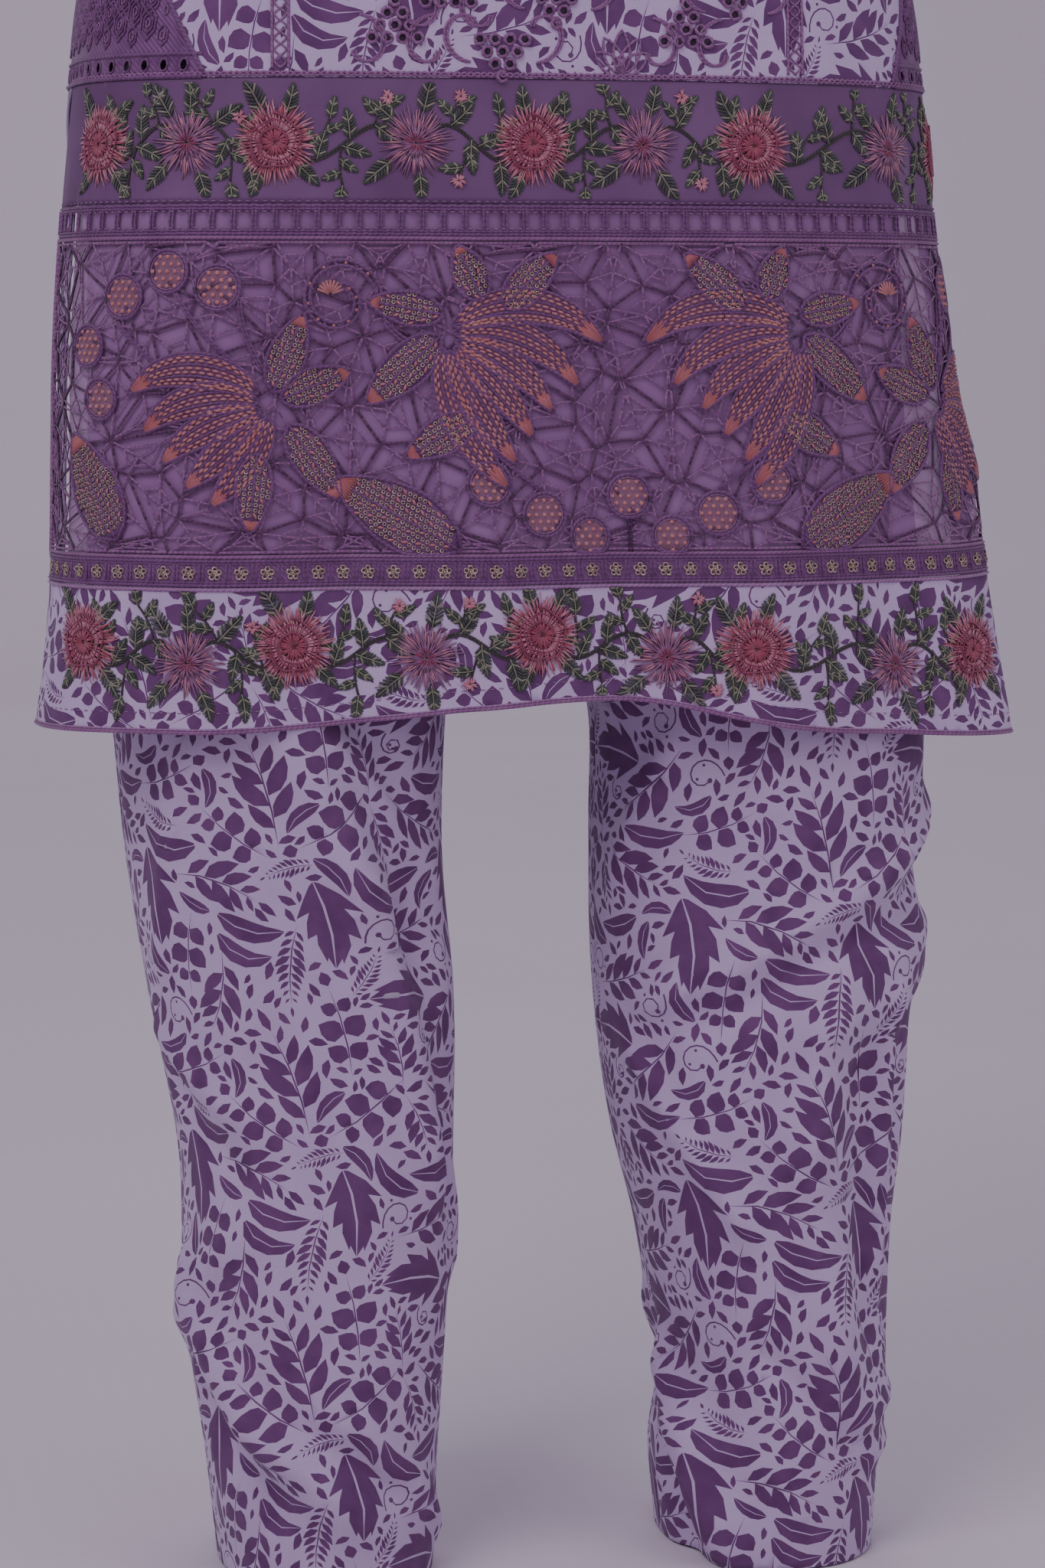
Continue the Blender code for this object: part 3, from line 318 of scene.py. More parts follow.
class Sheet:
    """A curved surface read by cloth across it and by height up it."""

    def __init__(self, heights: np.ndarray, points: np.ndarray, reach: np.ndarray) -> None:
        """Keeps a lattice of points and the half width of cloth at each height."""
        self.heights = heights
        self.points = points
        self.reach = reach
        self.normal_grid: np.ndarray | None = None

    def reach_at(self, height: np.ndarray) -> np.ndarray:
        """Half the cloth's width at a height."""
        return np.interp(height, self.heights, self.reach)

    def fold(self, folds: Sequence[Fold], seam_share: float = 0.0) -> None:
        """Moves the lattice out or in along soft lines, each fading at both ends.

        Args:
            folds: the ridges and troughs.
            seam_share: the share of the width, at each side seam, over which all of them fade.
        """
        share = np.linspace(-1, 1, self.points.shape[1])[None, :]
        height = self.heights[:, None]
        reach = self.reach[:, None]
        offset = np.zeros(self.points.shape[:2])
        for fold in folds:
            scale = self.reach_at(0.5 * (fold.start_height + fold.end_height))
            across = (fold.end_across - fold.start_across) * scale
            along = np.array([across, fold.end_height - fold.start_height])
            length = np.hypot(*along)
            along = along / length
            x = share * reach - fold.start_across * scale
            y = height - fold.start_height
            run = x * along[0] + y * along[1]
            side = y * along[0] - x * along[1]
            beyond = np.maximum(0.0, np.maximum(-run, run - length))
            fade = (beyond / (FOLD_FADE * fold.width)) ** 2
            offset += fold.depth * np.exp(-((side / fold.width) ** 2) - fade)
        if seam_share:
            offset *= np.clip((1.0 - np.abs(share)) / seam_share, 0.0, 1.0)
        self.points = self.points + offset[..., None] * self.normals()
        self.normal_grid = None

    def normals(self) -> np.ndarray:
        """Outward directions at the lattice's points."""
        if self.normal_grid is None:
            normal = np.cross(np.gradient(self.points, axis=1), np.gradient(self.points, axis=0))
            self.normal_grid = normal / np.linalg.norm(normal, axis=-1, keepdims=True)
        return self.normal_grid

    def weights(self, across: np.ndarray, height: np.ndarray) -> Callable[[np.ndarray], np.ndarray]:
        """A function that reads any lattice grid at places on the cloth.

        Args:
            across: cloth across the sheet.
            height: heights.

        Returns:
            The reader of a grid.
        """
        rows, columns = self.points.shape[:2]
        share = across / self.reach_at(height)
        c = np.clip((share + 1) / 2 * (columns - 1), 0, columns - LAST_CELL)
        r = np.clip(np.interp(height, self.heights, np.arange(rows)), 0, rows - LAST_CELL)
        c0 = c.astype(int)
        r0 = r.astype(int)
        tc = (c - c0)[..., None]
        tr = (r - r0)[..., None]

        def mix(grid: np.ndarray) -> np.ndarray:
            """Reads one grid."""
            low = grid[r0, c0] * (1 - tc) + grid[r0, c0 + 1] * tc
            high = grid[r0 + 1, c0] * (1 - tc) + grid[r0 + 1, c0 + 1] * tc
            return low * (1 - tr) + high * tr

        return mix

    def at(self, across: np.ndarray, height: np.ndarray, out: np.ndarray | float = 0.0) -> np.ndarray:
        """Points on the cloth, moved out of it.

        Args:
            across: cloth across the sheet.
            height: heights.
            out: distance out of the surface.

        Returns:
            The points.
        """
        points, _ = self.frame(across, height, out)
        return points

    def frame(self, across: np.ndarray, height: np.ndarray, out: np.ndarray | float = 0.0) -> Placed:
        """Points on the cloth with their outward directions.

        Args:
            across: cloth across the sheet.
            height: heights.
            out: distance out of the surface.

        Returns:
            Points and directions.
        """
        across, height = np.broadcast_arrays(np.asarray(across, float), np.asarray(height, float))
        mix = self.weights(across, height)
        normal = mix(self.normals())
        normal /= np.linalg.norm(normal, axis=-1, keepdims=True)
        lift = np.asarray(out, float)
        if lift.ndim:
            lift = lift[..., None]
        return mix(self.points) + lift * normal, normal


def lattice_heights(low: float, high: float) -> np.ndarray:
    """Evenly spaced heights."""
    return np.linspace(low, high, int(round((high - low) / LATTICE_STEP)) + 1)


def shoulder_height(x: np.ndarray) -> np.ndarray:
    """The shoulder seam's height along x."""
    return SHOULDER - SHOULDER_SLOPE * np.maximum(0.0, np.abs(x) - NECK_HALF)


def kameez_sheet(back: bool) -> Sheet:
    """The kameez's front or back; above the underarm, height is cloth over the shoulder.

    Args:
        back: whether it is the back.

    Returns:
        The sheet.
    """
    section_at = section_reader(KAMEEZ)
    heights = lattice_heights(KAMEEZ[0].height, UNDERARM + YOKE_CLOTH)
    share = np.linspace(-1, 1, LATTICE_COLUMNS)
    rows = []
    reach = []
    for cloth in heights:
        ring_x, ring_y, arc = quarter_ring(section_at(min(cloth, UNDERARM)))
        centre_x = section_at(min(cloth, UNDERARM)).centre_x
        x = np.sign(share) * np.interp(np.abs(share) * arc[-1], arc, ring_x)
        y = np.interp(np.abs(share) * arc[-1], arc, ring_y)
        roll = max(0.0, cloth - UNDERARM) / YOKE_CLOTH * math.pi / 2
        height = cloth + 0 * x
        if roll > 0:
            height = UNDERARM + (shoulder_height(x) - UNDERARM) * math.sin(roll)
        y = y * math.cos(roll) - SHOULDER_GAP * math.sin(roll)
        sign = -1 if back else 1
        rows.append(np.stack([centre_x + sign * x, sign * y, height - SHOULDER], -1))
        reach.append(arc[-1])
    sheet = Sheet(heights, np.array(rows), np.array(reach))
    sheet.fold(BACK_FOLDS if back else KAMEEZ_FOLDS)
    return sheet


def half_ring(section: Section, back: bool) -> tuple[np.ndarray, float]:
    """One panel's half of a leg ring, evenly spaced.

    Args:
        section: the ring.
        back: whether it is the back half.

    Returns:
        Its points and its reach.
    """
    ring_x, ring_y, arc = quarter_ring(section)
    share = np.linspace(-1, 1, LATTICE_COLUMNS)
    x = np.sign(share) * np.interp(np.abs(share) * arc[-1], arc, ring_x)
    y = np.interp(np.abs(share) * arc[-1], arc, ring_y)
    sign = -1 if back else 1
    return np.stack([section.centre_x + sign * x, sign * y], -1), arc[-1]


def half_hip(section: Section, side: int, back: bool) -> tuple[np.ndarray, float]:
    """The hip's quarter that a leg's panel grows into, in the same order as half_ring.

    Args:
        section: the hip's ring.
        side: -1 for the left leg, 1 for the right.
        back: whether it is a back panel.

    Returns:
        Its points and its reach.
    """
    ring_x, ring_y, arc = quarter_ring(section)
    share = np.linspace(0, 1, LATTICE_COLUMNS)
    x = (np.interp(share * arc[-1], arc, ring_x) + RISE_GAP / 2) * side
    y = np.interp(share * arc[-1], arc, ring_y)
    quarter = np.stack([x, -y if back else y], -1)
    inner_first = (side > 0) != back
    return quarter if inner_first else quarter[::-1], arc[-1] / 2


LEFT_CREASES = [
    Fold(0.006, CREASE, 0.05, 0.520, 0.55, 0.430),
    Fold(-0.005, CREASE, 0.30, 0.510, 0.62, 0.400),
    Fold(0.005, CREASE, -0.45, 0.500, -0.70, 0.380),
    Fold(0.006, CREASE, -0.84, 0.330, -0.45, 0.290),
    Fold(-0.005, CREASE, -0.84, 0.300, -0.50, 0.255),
    Fold(0.007, CREASE, -0.84, 0.190, -0.40, 0.110),
    Fold(-0.006, CREASE, -0.40, 0.120, 0.20, 0.062),
    Fold(0.006, CREASE, 0.10, 0.100, 0.62, 0.030),
    Fold(0.005, CREASE, 0.55, 0.330, 0.80, 0.190),
]
RIGHT_CREASES = [
    Fold(0.007, CREASE, 0.84, 0.455, -0.55, 0.345),
    Fold(-0.006, CREASE, 0.84, 0.425, -0.30, 0.335),
    Fold(0.006, CREASE, 0.15, 0.362, 0.84, 0.385),
    Fold(0.005, CREASE, 0.50, 0.340, 0.42, 0.180),
    Fold(-0.005, CREASE, 0.62, 0.330, 0.56, 0.150),
    Fold(0.006, CREASE, -0.70, 0.310, -0.25, 0.215),
    Fold(0.006, CREASE, -0.84, 0.110, -0.45, 0.020),
    Fold(-0.005, CREASE, -0.20, 0.130, 0.30, 0.060),
    Fold(0.005, CREASE, -0.50, 0.500, -0.75, 0.420),
]
BACK_CREASES = [
    Fold(0.005, CREASE, 0.60, 0.470, -0.20, 0.400),
    Fold(-0.005, CREASE, 0.10, 0.420, -0.60, 0.340),
    Fold(0.005, CREASE, -0.70, 0.270, 0.20, 0.200),
    Fold(0.005, CREASE, 0.80, 0.140, 0.10, 0.070),
    Fold(-0.004, CREASE, -0.20, 0.110, -0.80, 0.050),
]


def trouser_sheet(side: int, back: bool) -> Sheet:
    """A trouser panel: half a leg that turns into a quarter of the hips over the crotch.

    Args:
        side: -1 for the left leg, 1 for the right.
        back: whether it is a back panel.

    Returns:
        The sheet.
    """
    leg_at = section_reader(LEFT_LEG if side < 0 else RIGHT_LEG)
    hip_at = section_reader(HIP)
    heights = lattice_heights(0.0, WAIST)
    rows = []
    reach = []
    for height in heights:
        leg, leg_reach = half_ring(leg_at(min(height, CROTCH_TOP)), back)
        hip, hip_reach = half_hip(hip_at(max(height, CROTCH)), side, back)
        k = float(np.clip((height - CROTCH) / (CROTCH_TOP - CROTCH), 0.0, 1.0))
        k = k * k * (3 - 2 * k)
        flat = leg * (1 - k) + hip * k
        rows.append(np.concatenate([flat, np.full((LATTICE_COLUMNS, 1), height - SHOULDER)], 1))
        reach.append(leg_reach * (1 - k) + hip_reach * k)
    sheet = Sheet(heights, np.array(rows), np.array(reach))
    front_folds = LEFT_LEG_FOLDS if side < 0 else RIGHT_LEG_FOLDS
    creases = LEFT_CREASES if side < 0 else RIGHT_CREASES
    sheet.fold((BACK_LEG_FOLDS if back else front_folds) + (BACK_CREASES if back else creases), LEG_FADE)
    return sheet


def arm_height(cloth: np.ndarray) -> np.ndarray:
    """0 at the underarm to 1 at the shoulder seam."""
    return np.clip((np.asarray(cloth) - UNDERARM) / YOKE_CLOTH, 0.0, 1.0)


ARMHOLE_X = smooth_curve([0.0, 0.18, 0.42, 0.70, 1.0], [0.206, 0.186, 0.172, 0.176, 0.190])


def armhole_edge(sheet: Sheet, cloth: np.ndarray) -> np.ndarray:
    """Cloth across the body from its middle to the armhole."""
    x = sheet.points[-1, :, 0]
    share = np.linspace(-1, 1, len(x))
    order = np.argsort(x)
    return np.interp(ARMHOLE_X(arm_height(cloth)), x[order], np.abs(share)[order] * sheet.reach[-1])


def body_edge(sheet: Sheet, width: float) -> Curve:
    """A function that gives a body panel's half width at each height, on the side whose gore is so wide."""

    def edge(cloth: np.ndarray) -> np.ndarray:
        """Reads the half width."""
        seam = width * np.clip((GORE_TOP - cloth) / (GORE_TOP - HIP_SEAM), 0.0, 1.0)
        side = sheet.reach_at(cloth) - SIDE_SEAM / 2 - seam
        return np.where(np.asarray(cloth) > UNDERARM, armhole_edge(sheet, cloth), side)

    return edge


def neck_and_shoulders(drop: float) -> Curve:
    """The upper edge of a body panel by share of its width: the neck's curve, then the shoulder seam."""
    seam = UNDERARM + YOKE_CLOTH
    roll = math.asin((SHOULDER - drop - UNDERARM) / (SHOULDER - UNDERARM))
    lowest = UNDERARM + YOKE_CLOTH * roll / (math.pi / 2)
    rise = seam - lowest
    return lambda share: lowest + rise * np.clip(np.abs(share) / NECK_SHARE, 0.0, 1.0) ** NECK_ROUND


def level(height: float) -> Curve:
    """A seam at one height all across."""
    return lambda share: height + 0.0 * share


class Reading(Enum):
    """How a finish reads the surface's flat sizes."""

    WEAVE = "weave"
    TWIST = "twist"
    SATIN = "satin"


@dataclass(frozen=True)
class Finish:
    """A procedural finish: a colour that varies softly, with painted shade in the grooves of a weave, twist or
    satin relief.
    """

    name: str
    colour: tuple[float, float, float]
    other: tuple[float, float, float]
    patch: float = 22.0
    reading: Reading = Reading.WEAVE
    pitch: float = 0.0011
    relief: float = 0.25
    roughness: float = 0.85
    sheen: float = 0.25
    metallic: float = 0.0
    alpha: float = 1.0

    def material(self) -> bpy.types.Material:
        """Makes the finish's material once and returns it.

        Returns:
            The material.
        """
        found = bpy.data.materials.get(self.name)
        if found:
            return found
        material = bpy.data.materials.new(self.name)
        material.use_nodes = True
        nodes = material.node_tree.nodes
        links = material.node_tree.links
        shader = nodes["Principled BSDF"]
        place = nodes.new("ShaderNodeTexCoord")

        noise = nodes.new("ShaderNodeTexNoise")
        noise.inputs["Scale"].default_value = self.patch
        noise.inputs["Detail"].default_value = 4.0
        links.new(place.outputs["Object"], noise.inputs["Vector"])
        spread = nodes.new("ShaderNodeMapRange")
        spread.inputs["From Min"].default_value = 0.3
        spread.inputs["From Max"].default_value = 0.7
        links.new(noise.outputs["Fac"], spread.inputs["Value"])
        mix = nodes.new("ShaderNodeMix")
        mix.data_type = "RGBA"
        mix.inputs["A"].default_value = (*self.colour, 1.0)
        mix.inputs["B"].default_value = (*self.other, 1.0)
        links.new(spread.outputs["Result"], mix.inputs["Factor"])

        thread = self.thread(nodes, links, place)
        # Painted shade: the colour is darkened where the relief is low, in the grooves between threads, where
        # the bump also sinks
        painted_groove_shade = nodes.new("ShaderNodeMix")
        painted_groove_shade.data_type = "RGBA"
        painted_groove_shade.blend_type = "MULTIPLY"
        painted_groove_shade.inputs["Factor"].default_value = 0.35 * self.relief
        links.new(mix.outputs["Result"], painted_groove_shade.inputs["A"])
        links.new(thread, painted_groove_shade.inputs["B"])
        links.new(painted_groove_shade.outputs["Result"], shader.inputs["Base Color"])
        bump = nodes.new("ShaderNodeBump")
        bump.inputs["Strength"].default_value = self.relief
        bump.inputs["Distance"].default_value = 0.25 * self.pitch
        links.new(thread, bump.inputs["Height"])
        links.new(bump.outputs["Normal"], shader.inputs["Normal"])

        shader.inputs["Roughness"].default_value = self.roughness
        shader.inputs["Metallic"].default_value = self.metallic
        shader.inputs["Sheen Weight"].default_value = self.sheen
        shader.inputs["Sheen Roughness"].default_value = 0.5
        shader.inputs["Alpha"].default_value = self.alpha
        return material

    def thread(self, nodes: bpy.types.Nodes, links: bpy.types.NodeLinks,
               place: bpy.types.Node) -> bpy.types.NodeSocket:
        """Adds the relief's nodes: crossed yarns, a twisted cord, or parallel satin threads.

        Args:
            nodes: the material's nodes.
            links: the material's links.
            place: the texture coordinates.

        Returns:
            The socket with the relief's height.
        """
        lines = []
        ways = {Reading.WEAVE: ("X", "Y"), Reading.TWIST: ("DIAGONAL",), Reading.SATIN: ("X",)}
        for way in ways[self.reading]:
            wave = nodes.new("ShaderNodeTexWave")
            wave.bands_direction = way
            wave.inputs["Scale"].default_value = WAVE_BAND / self.pitch
            wave.inputs["Distortion"].default_value = 0.6
            wave.inputs["Detail Scale"].default_value = 2.0
            links.new(place.outputs["UV"], wave.inputs["Vector"])
            lines.append(wave.outputs["Color"])
        if len(lines) == 1:
            return lines[0]
        cross = nodes.new("ShaderNodeMix")
        cross.data_type = "RGBA"
        cross.inputs["Factor"].default_value = 0.5
        links.new(lines[0], cross.inputs["A"])
        links.new(lines[1], cross.inputs["B"])
        return cross.outputs["Result"]


GROUND = Finish("print_ground", (0.60, 0.44, 0.69), (0.67, 0.51, 0.76), relief=0.35)
INK = Finish("print_ink", (0.130, 0.038, 0.150), (0.195, 0.068, 0.212), patch=60.0, relief=0.35, sheen=0.1)
REVERSE = Finish("print_reverse", (0.42, 0.33, 0.46), (0.55, 0.46, 0.60), patch=120.0, relief=0.3)
REVERSE_INK = Finish("print_reverse_ink", (0.22, 0.13, 0.25), (0.28, 0.17, 0.31), relief=0.3)


@dataclass
class Shape:
    """Points and faces of one mesh, with each point's flat place and each face's finish."""

    points: list[np.ndarray] = field(default_factory=list)
    flats: list[np.ndarray] = field(default_factory=list)
    faces: list[np.ndarray] = field(default_factory=list)
    finishes: list[np.ndarray] = field(default_factory=list)
    count: int = 0

    def add(self, points: np.ndarray, flats: np.ndarray, faces: np.ndarray, finish: int | np.ndarray) -> int:
        """Adds a patch of points and faces.

        Args:
            points: places in space.
            flats: the flat place of each.
            faces: rows of indices into these points.
            finish: which finish each face has.

        Returns:
            The number of the first point.
        """
        first = self.count
        self.points.append(points)
        self.flats.append(flats)
        self.count += len(points)
        self.join(faces + first, finish)
        return first

    def join(self, faces: np.ndarray, finish: int | np.ndarray) -> None:
        """Adds faces between points that are already there."""
        self.faces.append(faces)
        self.finishes.append(np.broadcast_to(np.asarray(finish), len(faces)))

    def to_object(self, name: str, finishes: Sequence[Finish]) -> bpy.types.Object:
        """Makes the object, which rides on the garment's body.

        Args:
            name: the piece's name.
            finishes: the finishes that the faces' numbers stand for.

        Returns:
            The object.
        """
        mesh = bpy.data.meshes.new(name)
        faces = [face for block in self.faces for face in block.tolist()]
        mesh.from_pydata(np.concatenate(self.points).tolist(), [], faces)
        flats = np.concatenate(self.flats)
        corners = np.empty(len(mesh.loops), int)
        mesh.loops.foreach_get("vertex_index", corners)
        layer = mesh.uv_layers.new(name="flat")
        layer.data.foreach_set("uv", flats[corners].ravel())
        mesh.polygons.foreach_set("material_index", np.concatenate(self.finishes).astype(int))
        for finish in finishes:
            mesh.materials.append(finish.material())
        mesh.shade_smooth()
        obj = bpy.data.objects.new(name, mesh)
        bpy.context.scene.collection.objects.link(obj)
        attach(obj, BODY)
        LOG.info("%s: %d triangles", name, sum(len(face) - 2 for face in faces))
        return obj


@dataclass(frozen=True)
class Frond:
    """A leaf or a petal on a bent spine; turn and bend are in degrees."""

    x: float
    y: float
    turn: float
    length: float
    bend: float
    width: float

    def spine(self, along: np.ndarray) -> tuple[np.ndarray, np.ndarray]:
        """Points of the spine and the direction to its left.

        Args:
            along: shares of the spine's length.

        Returns:
            Points and directions.
        """
        knots = np.linspace(0.0, 1.0, 5)
        turn = np.radians(self.turn + self.bend * knots)
        stride = self.length / 4
        x = self.x + np.concatenate([[0.0], np.cumsum(np.cos(turn[:-1]) * stride)])
        y = self.y + np.concatenate([[0.0], np.cumsum(np.sin(turn[:-1]) * stride)])
        heading = np.radians(self.turn + self.bend * along)
        points = np.stack([smooth_curve(knots, x)(along), smooth_curve(knots, y)(along)], -1)
        return points, np.stack([-np.sin(heading), np.cos(heading)], -1)

    def half(self, along: np.ndarray) -> np.ndarray:
        """Half the width at shares of the length."""
        return self.width / 2 * np.sin(math.pi * np.clip(along, 0.0, 1.0) ** 0.8) ** 0.75

    def at(self, along: np.ndarray, side: np.ndarray) -> np.ndarray:
        """Points at shares of the length and of the half width.

        Args:
            along: from 0 at the foot to 1 at the tip.
            side: from -1 at the right edge to 1 at the left one.

        Returns:
            The points.
        """
        along, side = np.broadcast_arrays(np.asarray(along, float), np.asarray(side, float))
        points, left = self.spine(along)
        return points + left * (side * self.half(along))[..., None]

    def outline(self, steps: int) -> np.ndarray:
        """The edge as a closed run of points, anticlockwise."""
        along = np.linspace(0.0, 1.0, steps)
        right = self.at(along, -1.0)
        left = self.at(along[-2:0:-1], 1.0)
        return np.concatenate([right, left])


def unit(turn: np.ndarray) -> np.ndarray:
    """Steps of length 1 in directions given in radians."""
    return np.stack([np.cos(turn), np.sin(turn)], -1)


def track(across: np.ndarray | float, height: np.ndarray | float) -> np.ndarray:
    """Flat points from places across and heights, either of which may be one number."""
    return np.stack(np.broadcast_arrays(across, height), -1)


def signed_area(polygon: np.ndarray) -> float:
    """A polygon's area, above 0 where its points run anticlockwise."""
    x, y = polygon.T
    return 0.5 * float(np.sum(x * np.roll(y, -1) - y * np.roll(x, -1)))


def inside(points: np.ndarray, polygon: np.ndarray) -> np.ndarray:
    """Which points lie inside a closed polygon."""
    x, y = points[:, 0], points[:, 1]
    found = np.zeros(len(points), bool)
    for (ax, ay), (bx, by) in zip(polygon, np.roll(polygon, -1, axis=0)):
        crosses = (ay > y) != (by > y)
        at = ax + (y - ay) / (by - ay if by != ay else 1.0) * (bx - ax)
        found ^= crosses & (x < at)
    return found


class SprigKind(Enum):
    """The print's motifs."""

    SERRATED = "serrated"
    FERN = "fern"
    OLIVE = "olive"
    ROUND = "round"
    CURL = "curl"
    TENDRIL = "tendril"
    LEAFLET = "leaflet"

    @property
    def curl(self) -> float:
        """How strongly the motif's spine bends, against a plain leaf's."""
        return {SprigKind.CURL: 2.6, SprigKind.TENDRIL: 13.0}.get(self, 1.0)


@dataclass(frozen=True)
class Sprig:
    """A motif of the print: its foot, its direction in degrees, its length and its bend."""

    kind: SprigKind
    x: float
    y: float
    turn: float
    length: float
    bend: float = 0.0

    def shapes(self) -> list[np.ndarray]:
        """The motif's inked shapes."""
        makers = {
            SprigKind.SERRATED: lambda: self.halved(0.48, 3),
            SprigKind.CURL: lambda: self.halved(0.32, 0),
            SprigKind.FERN: lambda: self.leaved(9, 0.21, 0.34, 54, 0.0),
            SprigKind.OLIVE: lambda: self.leaved(4, 0.38, 0.38, 44, 0.45),
            SprigKind.ROUND: lambda: self.leaved(3, 0.27, 0.84, 64, 0.0),
            SprigKind.TENDRIL: self.tendril,
            SprigKind.LEAFLET: lambda: [self.frond(0.44).outline(4)],
        }
        return makers[self.kind]()

    def frond(self, width: float) -> Frond:
        """The motif's spine with a width given as a share of its length."""
        return Frond(self.x, self.y, self.turn, self.length, self.bend, width * self.length)

    def halved(self, width: float, lobes: int) -> list[np.ndarray]:
        """A leaf in two halves, parted by a bare midrib.

        Args:
            width: width as a share of the length.
            lobes: how many pointed lobes each half has, or none.

        Returns:
            The halves.
        """
        leaf = self.frond(width)
        rim = [(0.03, 0.75), (0.18, 1.0), (0.36, 1.0), (0.56, 1.0), (0.76, 1.0), (0.90, 1.0)]
        if lobes:
            step = 0.80 / lobes
            rim = [(0.05, 0.6)]
            for i in range(lobes):
                start = 0.08 + i * step
                rim += [(start + 0.45 * step, 0.98), (start + 1.20 * step, 1.36), (start + step, 0.74)]
        shapes = []
        for side in (-1.0, 1.0):
            inner = [(0.96, 0.10), (0.62, 0.06), (0.30, 0.06), (0.02, 0.10)]
            edge = np.array(rim + [(0.995, 0.3)] + inner)
            shapes.append(leaf.at(np.clip(edge[:, 0], 0.0, 0.995), edge[:, 1] * side))
        return shapes

    def leaved(self, count: int, leaf: float, slim: float, spread: float, stagger: float) -> list[np.ndarray]:
        """A stem with a leaf to each side at even steps.

        Args:
            count: steps along the stem.
            leaf: a leaf's length as a share of the stem's.
            slim: a leaf's width as a share of its length.
            spread: the angle between leaf and stem, in degrees.
            stagger: how far the right leaves stand ahead, in steps.

        Returns:
            The stem and its leaves.
        """
        stem = self.frond(0.016)
        shapes = [stem.outline(4)]
        for side in (-1.0, 1.0):
            for i in range(count):
                along = (i + 0.9 + (stagger if side < 0 else 0.0)) / (count + 1)
                if along > 0.99:
                    continue
                foot, _ = stem.spine(np.array([along]))
                turn = self.turn + self.bend * along + side * spread
                length = leaf * self.length * (1.15 - 0.75 * abs(2 * along - 0.8))
                heading = math.radians(turn)
                start = foot[0] + 0.0006 * np.array([math.cos(heading), math.sin(heading)])
                steps = 5 if slim > 0.6 or length > 0.018 else 3 if length < 0.007 else 4
                blade = Frond(start[0], start[1], turn, length, -side * 20, slim * length)
                shapes.append(blade.outline(steps))
        tip, _ = stem.spine(np.array([1.0]))
        turn = self.turn + self.bend
        length = 0.6 * leaf * self.length
        shapes.append(Frond(tip[0, 0], tip[0, 1], turn, length, 0.0, slim * length).outline(4))
        return shapes

    def tendril(self) -> list[np.ndarray]:
        """A thin curl with a dot at its end and dots beside it."""
        share = np.linspace(0.0, 1.0, 12)
        heading = np.radians(self.turn + self.bend * share**1.6)
        steps = unit(heading) * self.length / 11
        line = np.array([self.x, self.y]) + np.cumsum(steps, axis=0)
        normal = np.stack([-np.sin(heading), np.cos(heading)], -1) * 0.0005
        shapes = [np.concatenate([line - normal, (line + normal)[::-1]])]
        for i, size in ((11, 0.0017), (8, 0.0010), (4, 0.0010)):
            shift = 0.0 if i == 11 else 6.0
            shapes.append(circle(*(line[i] + shift * normal[i]), size, 6))
        return shapes


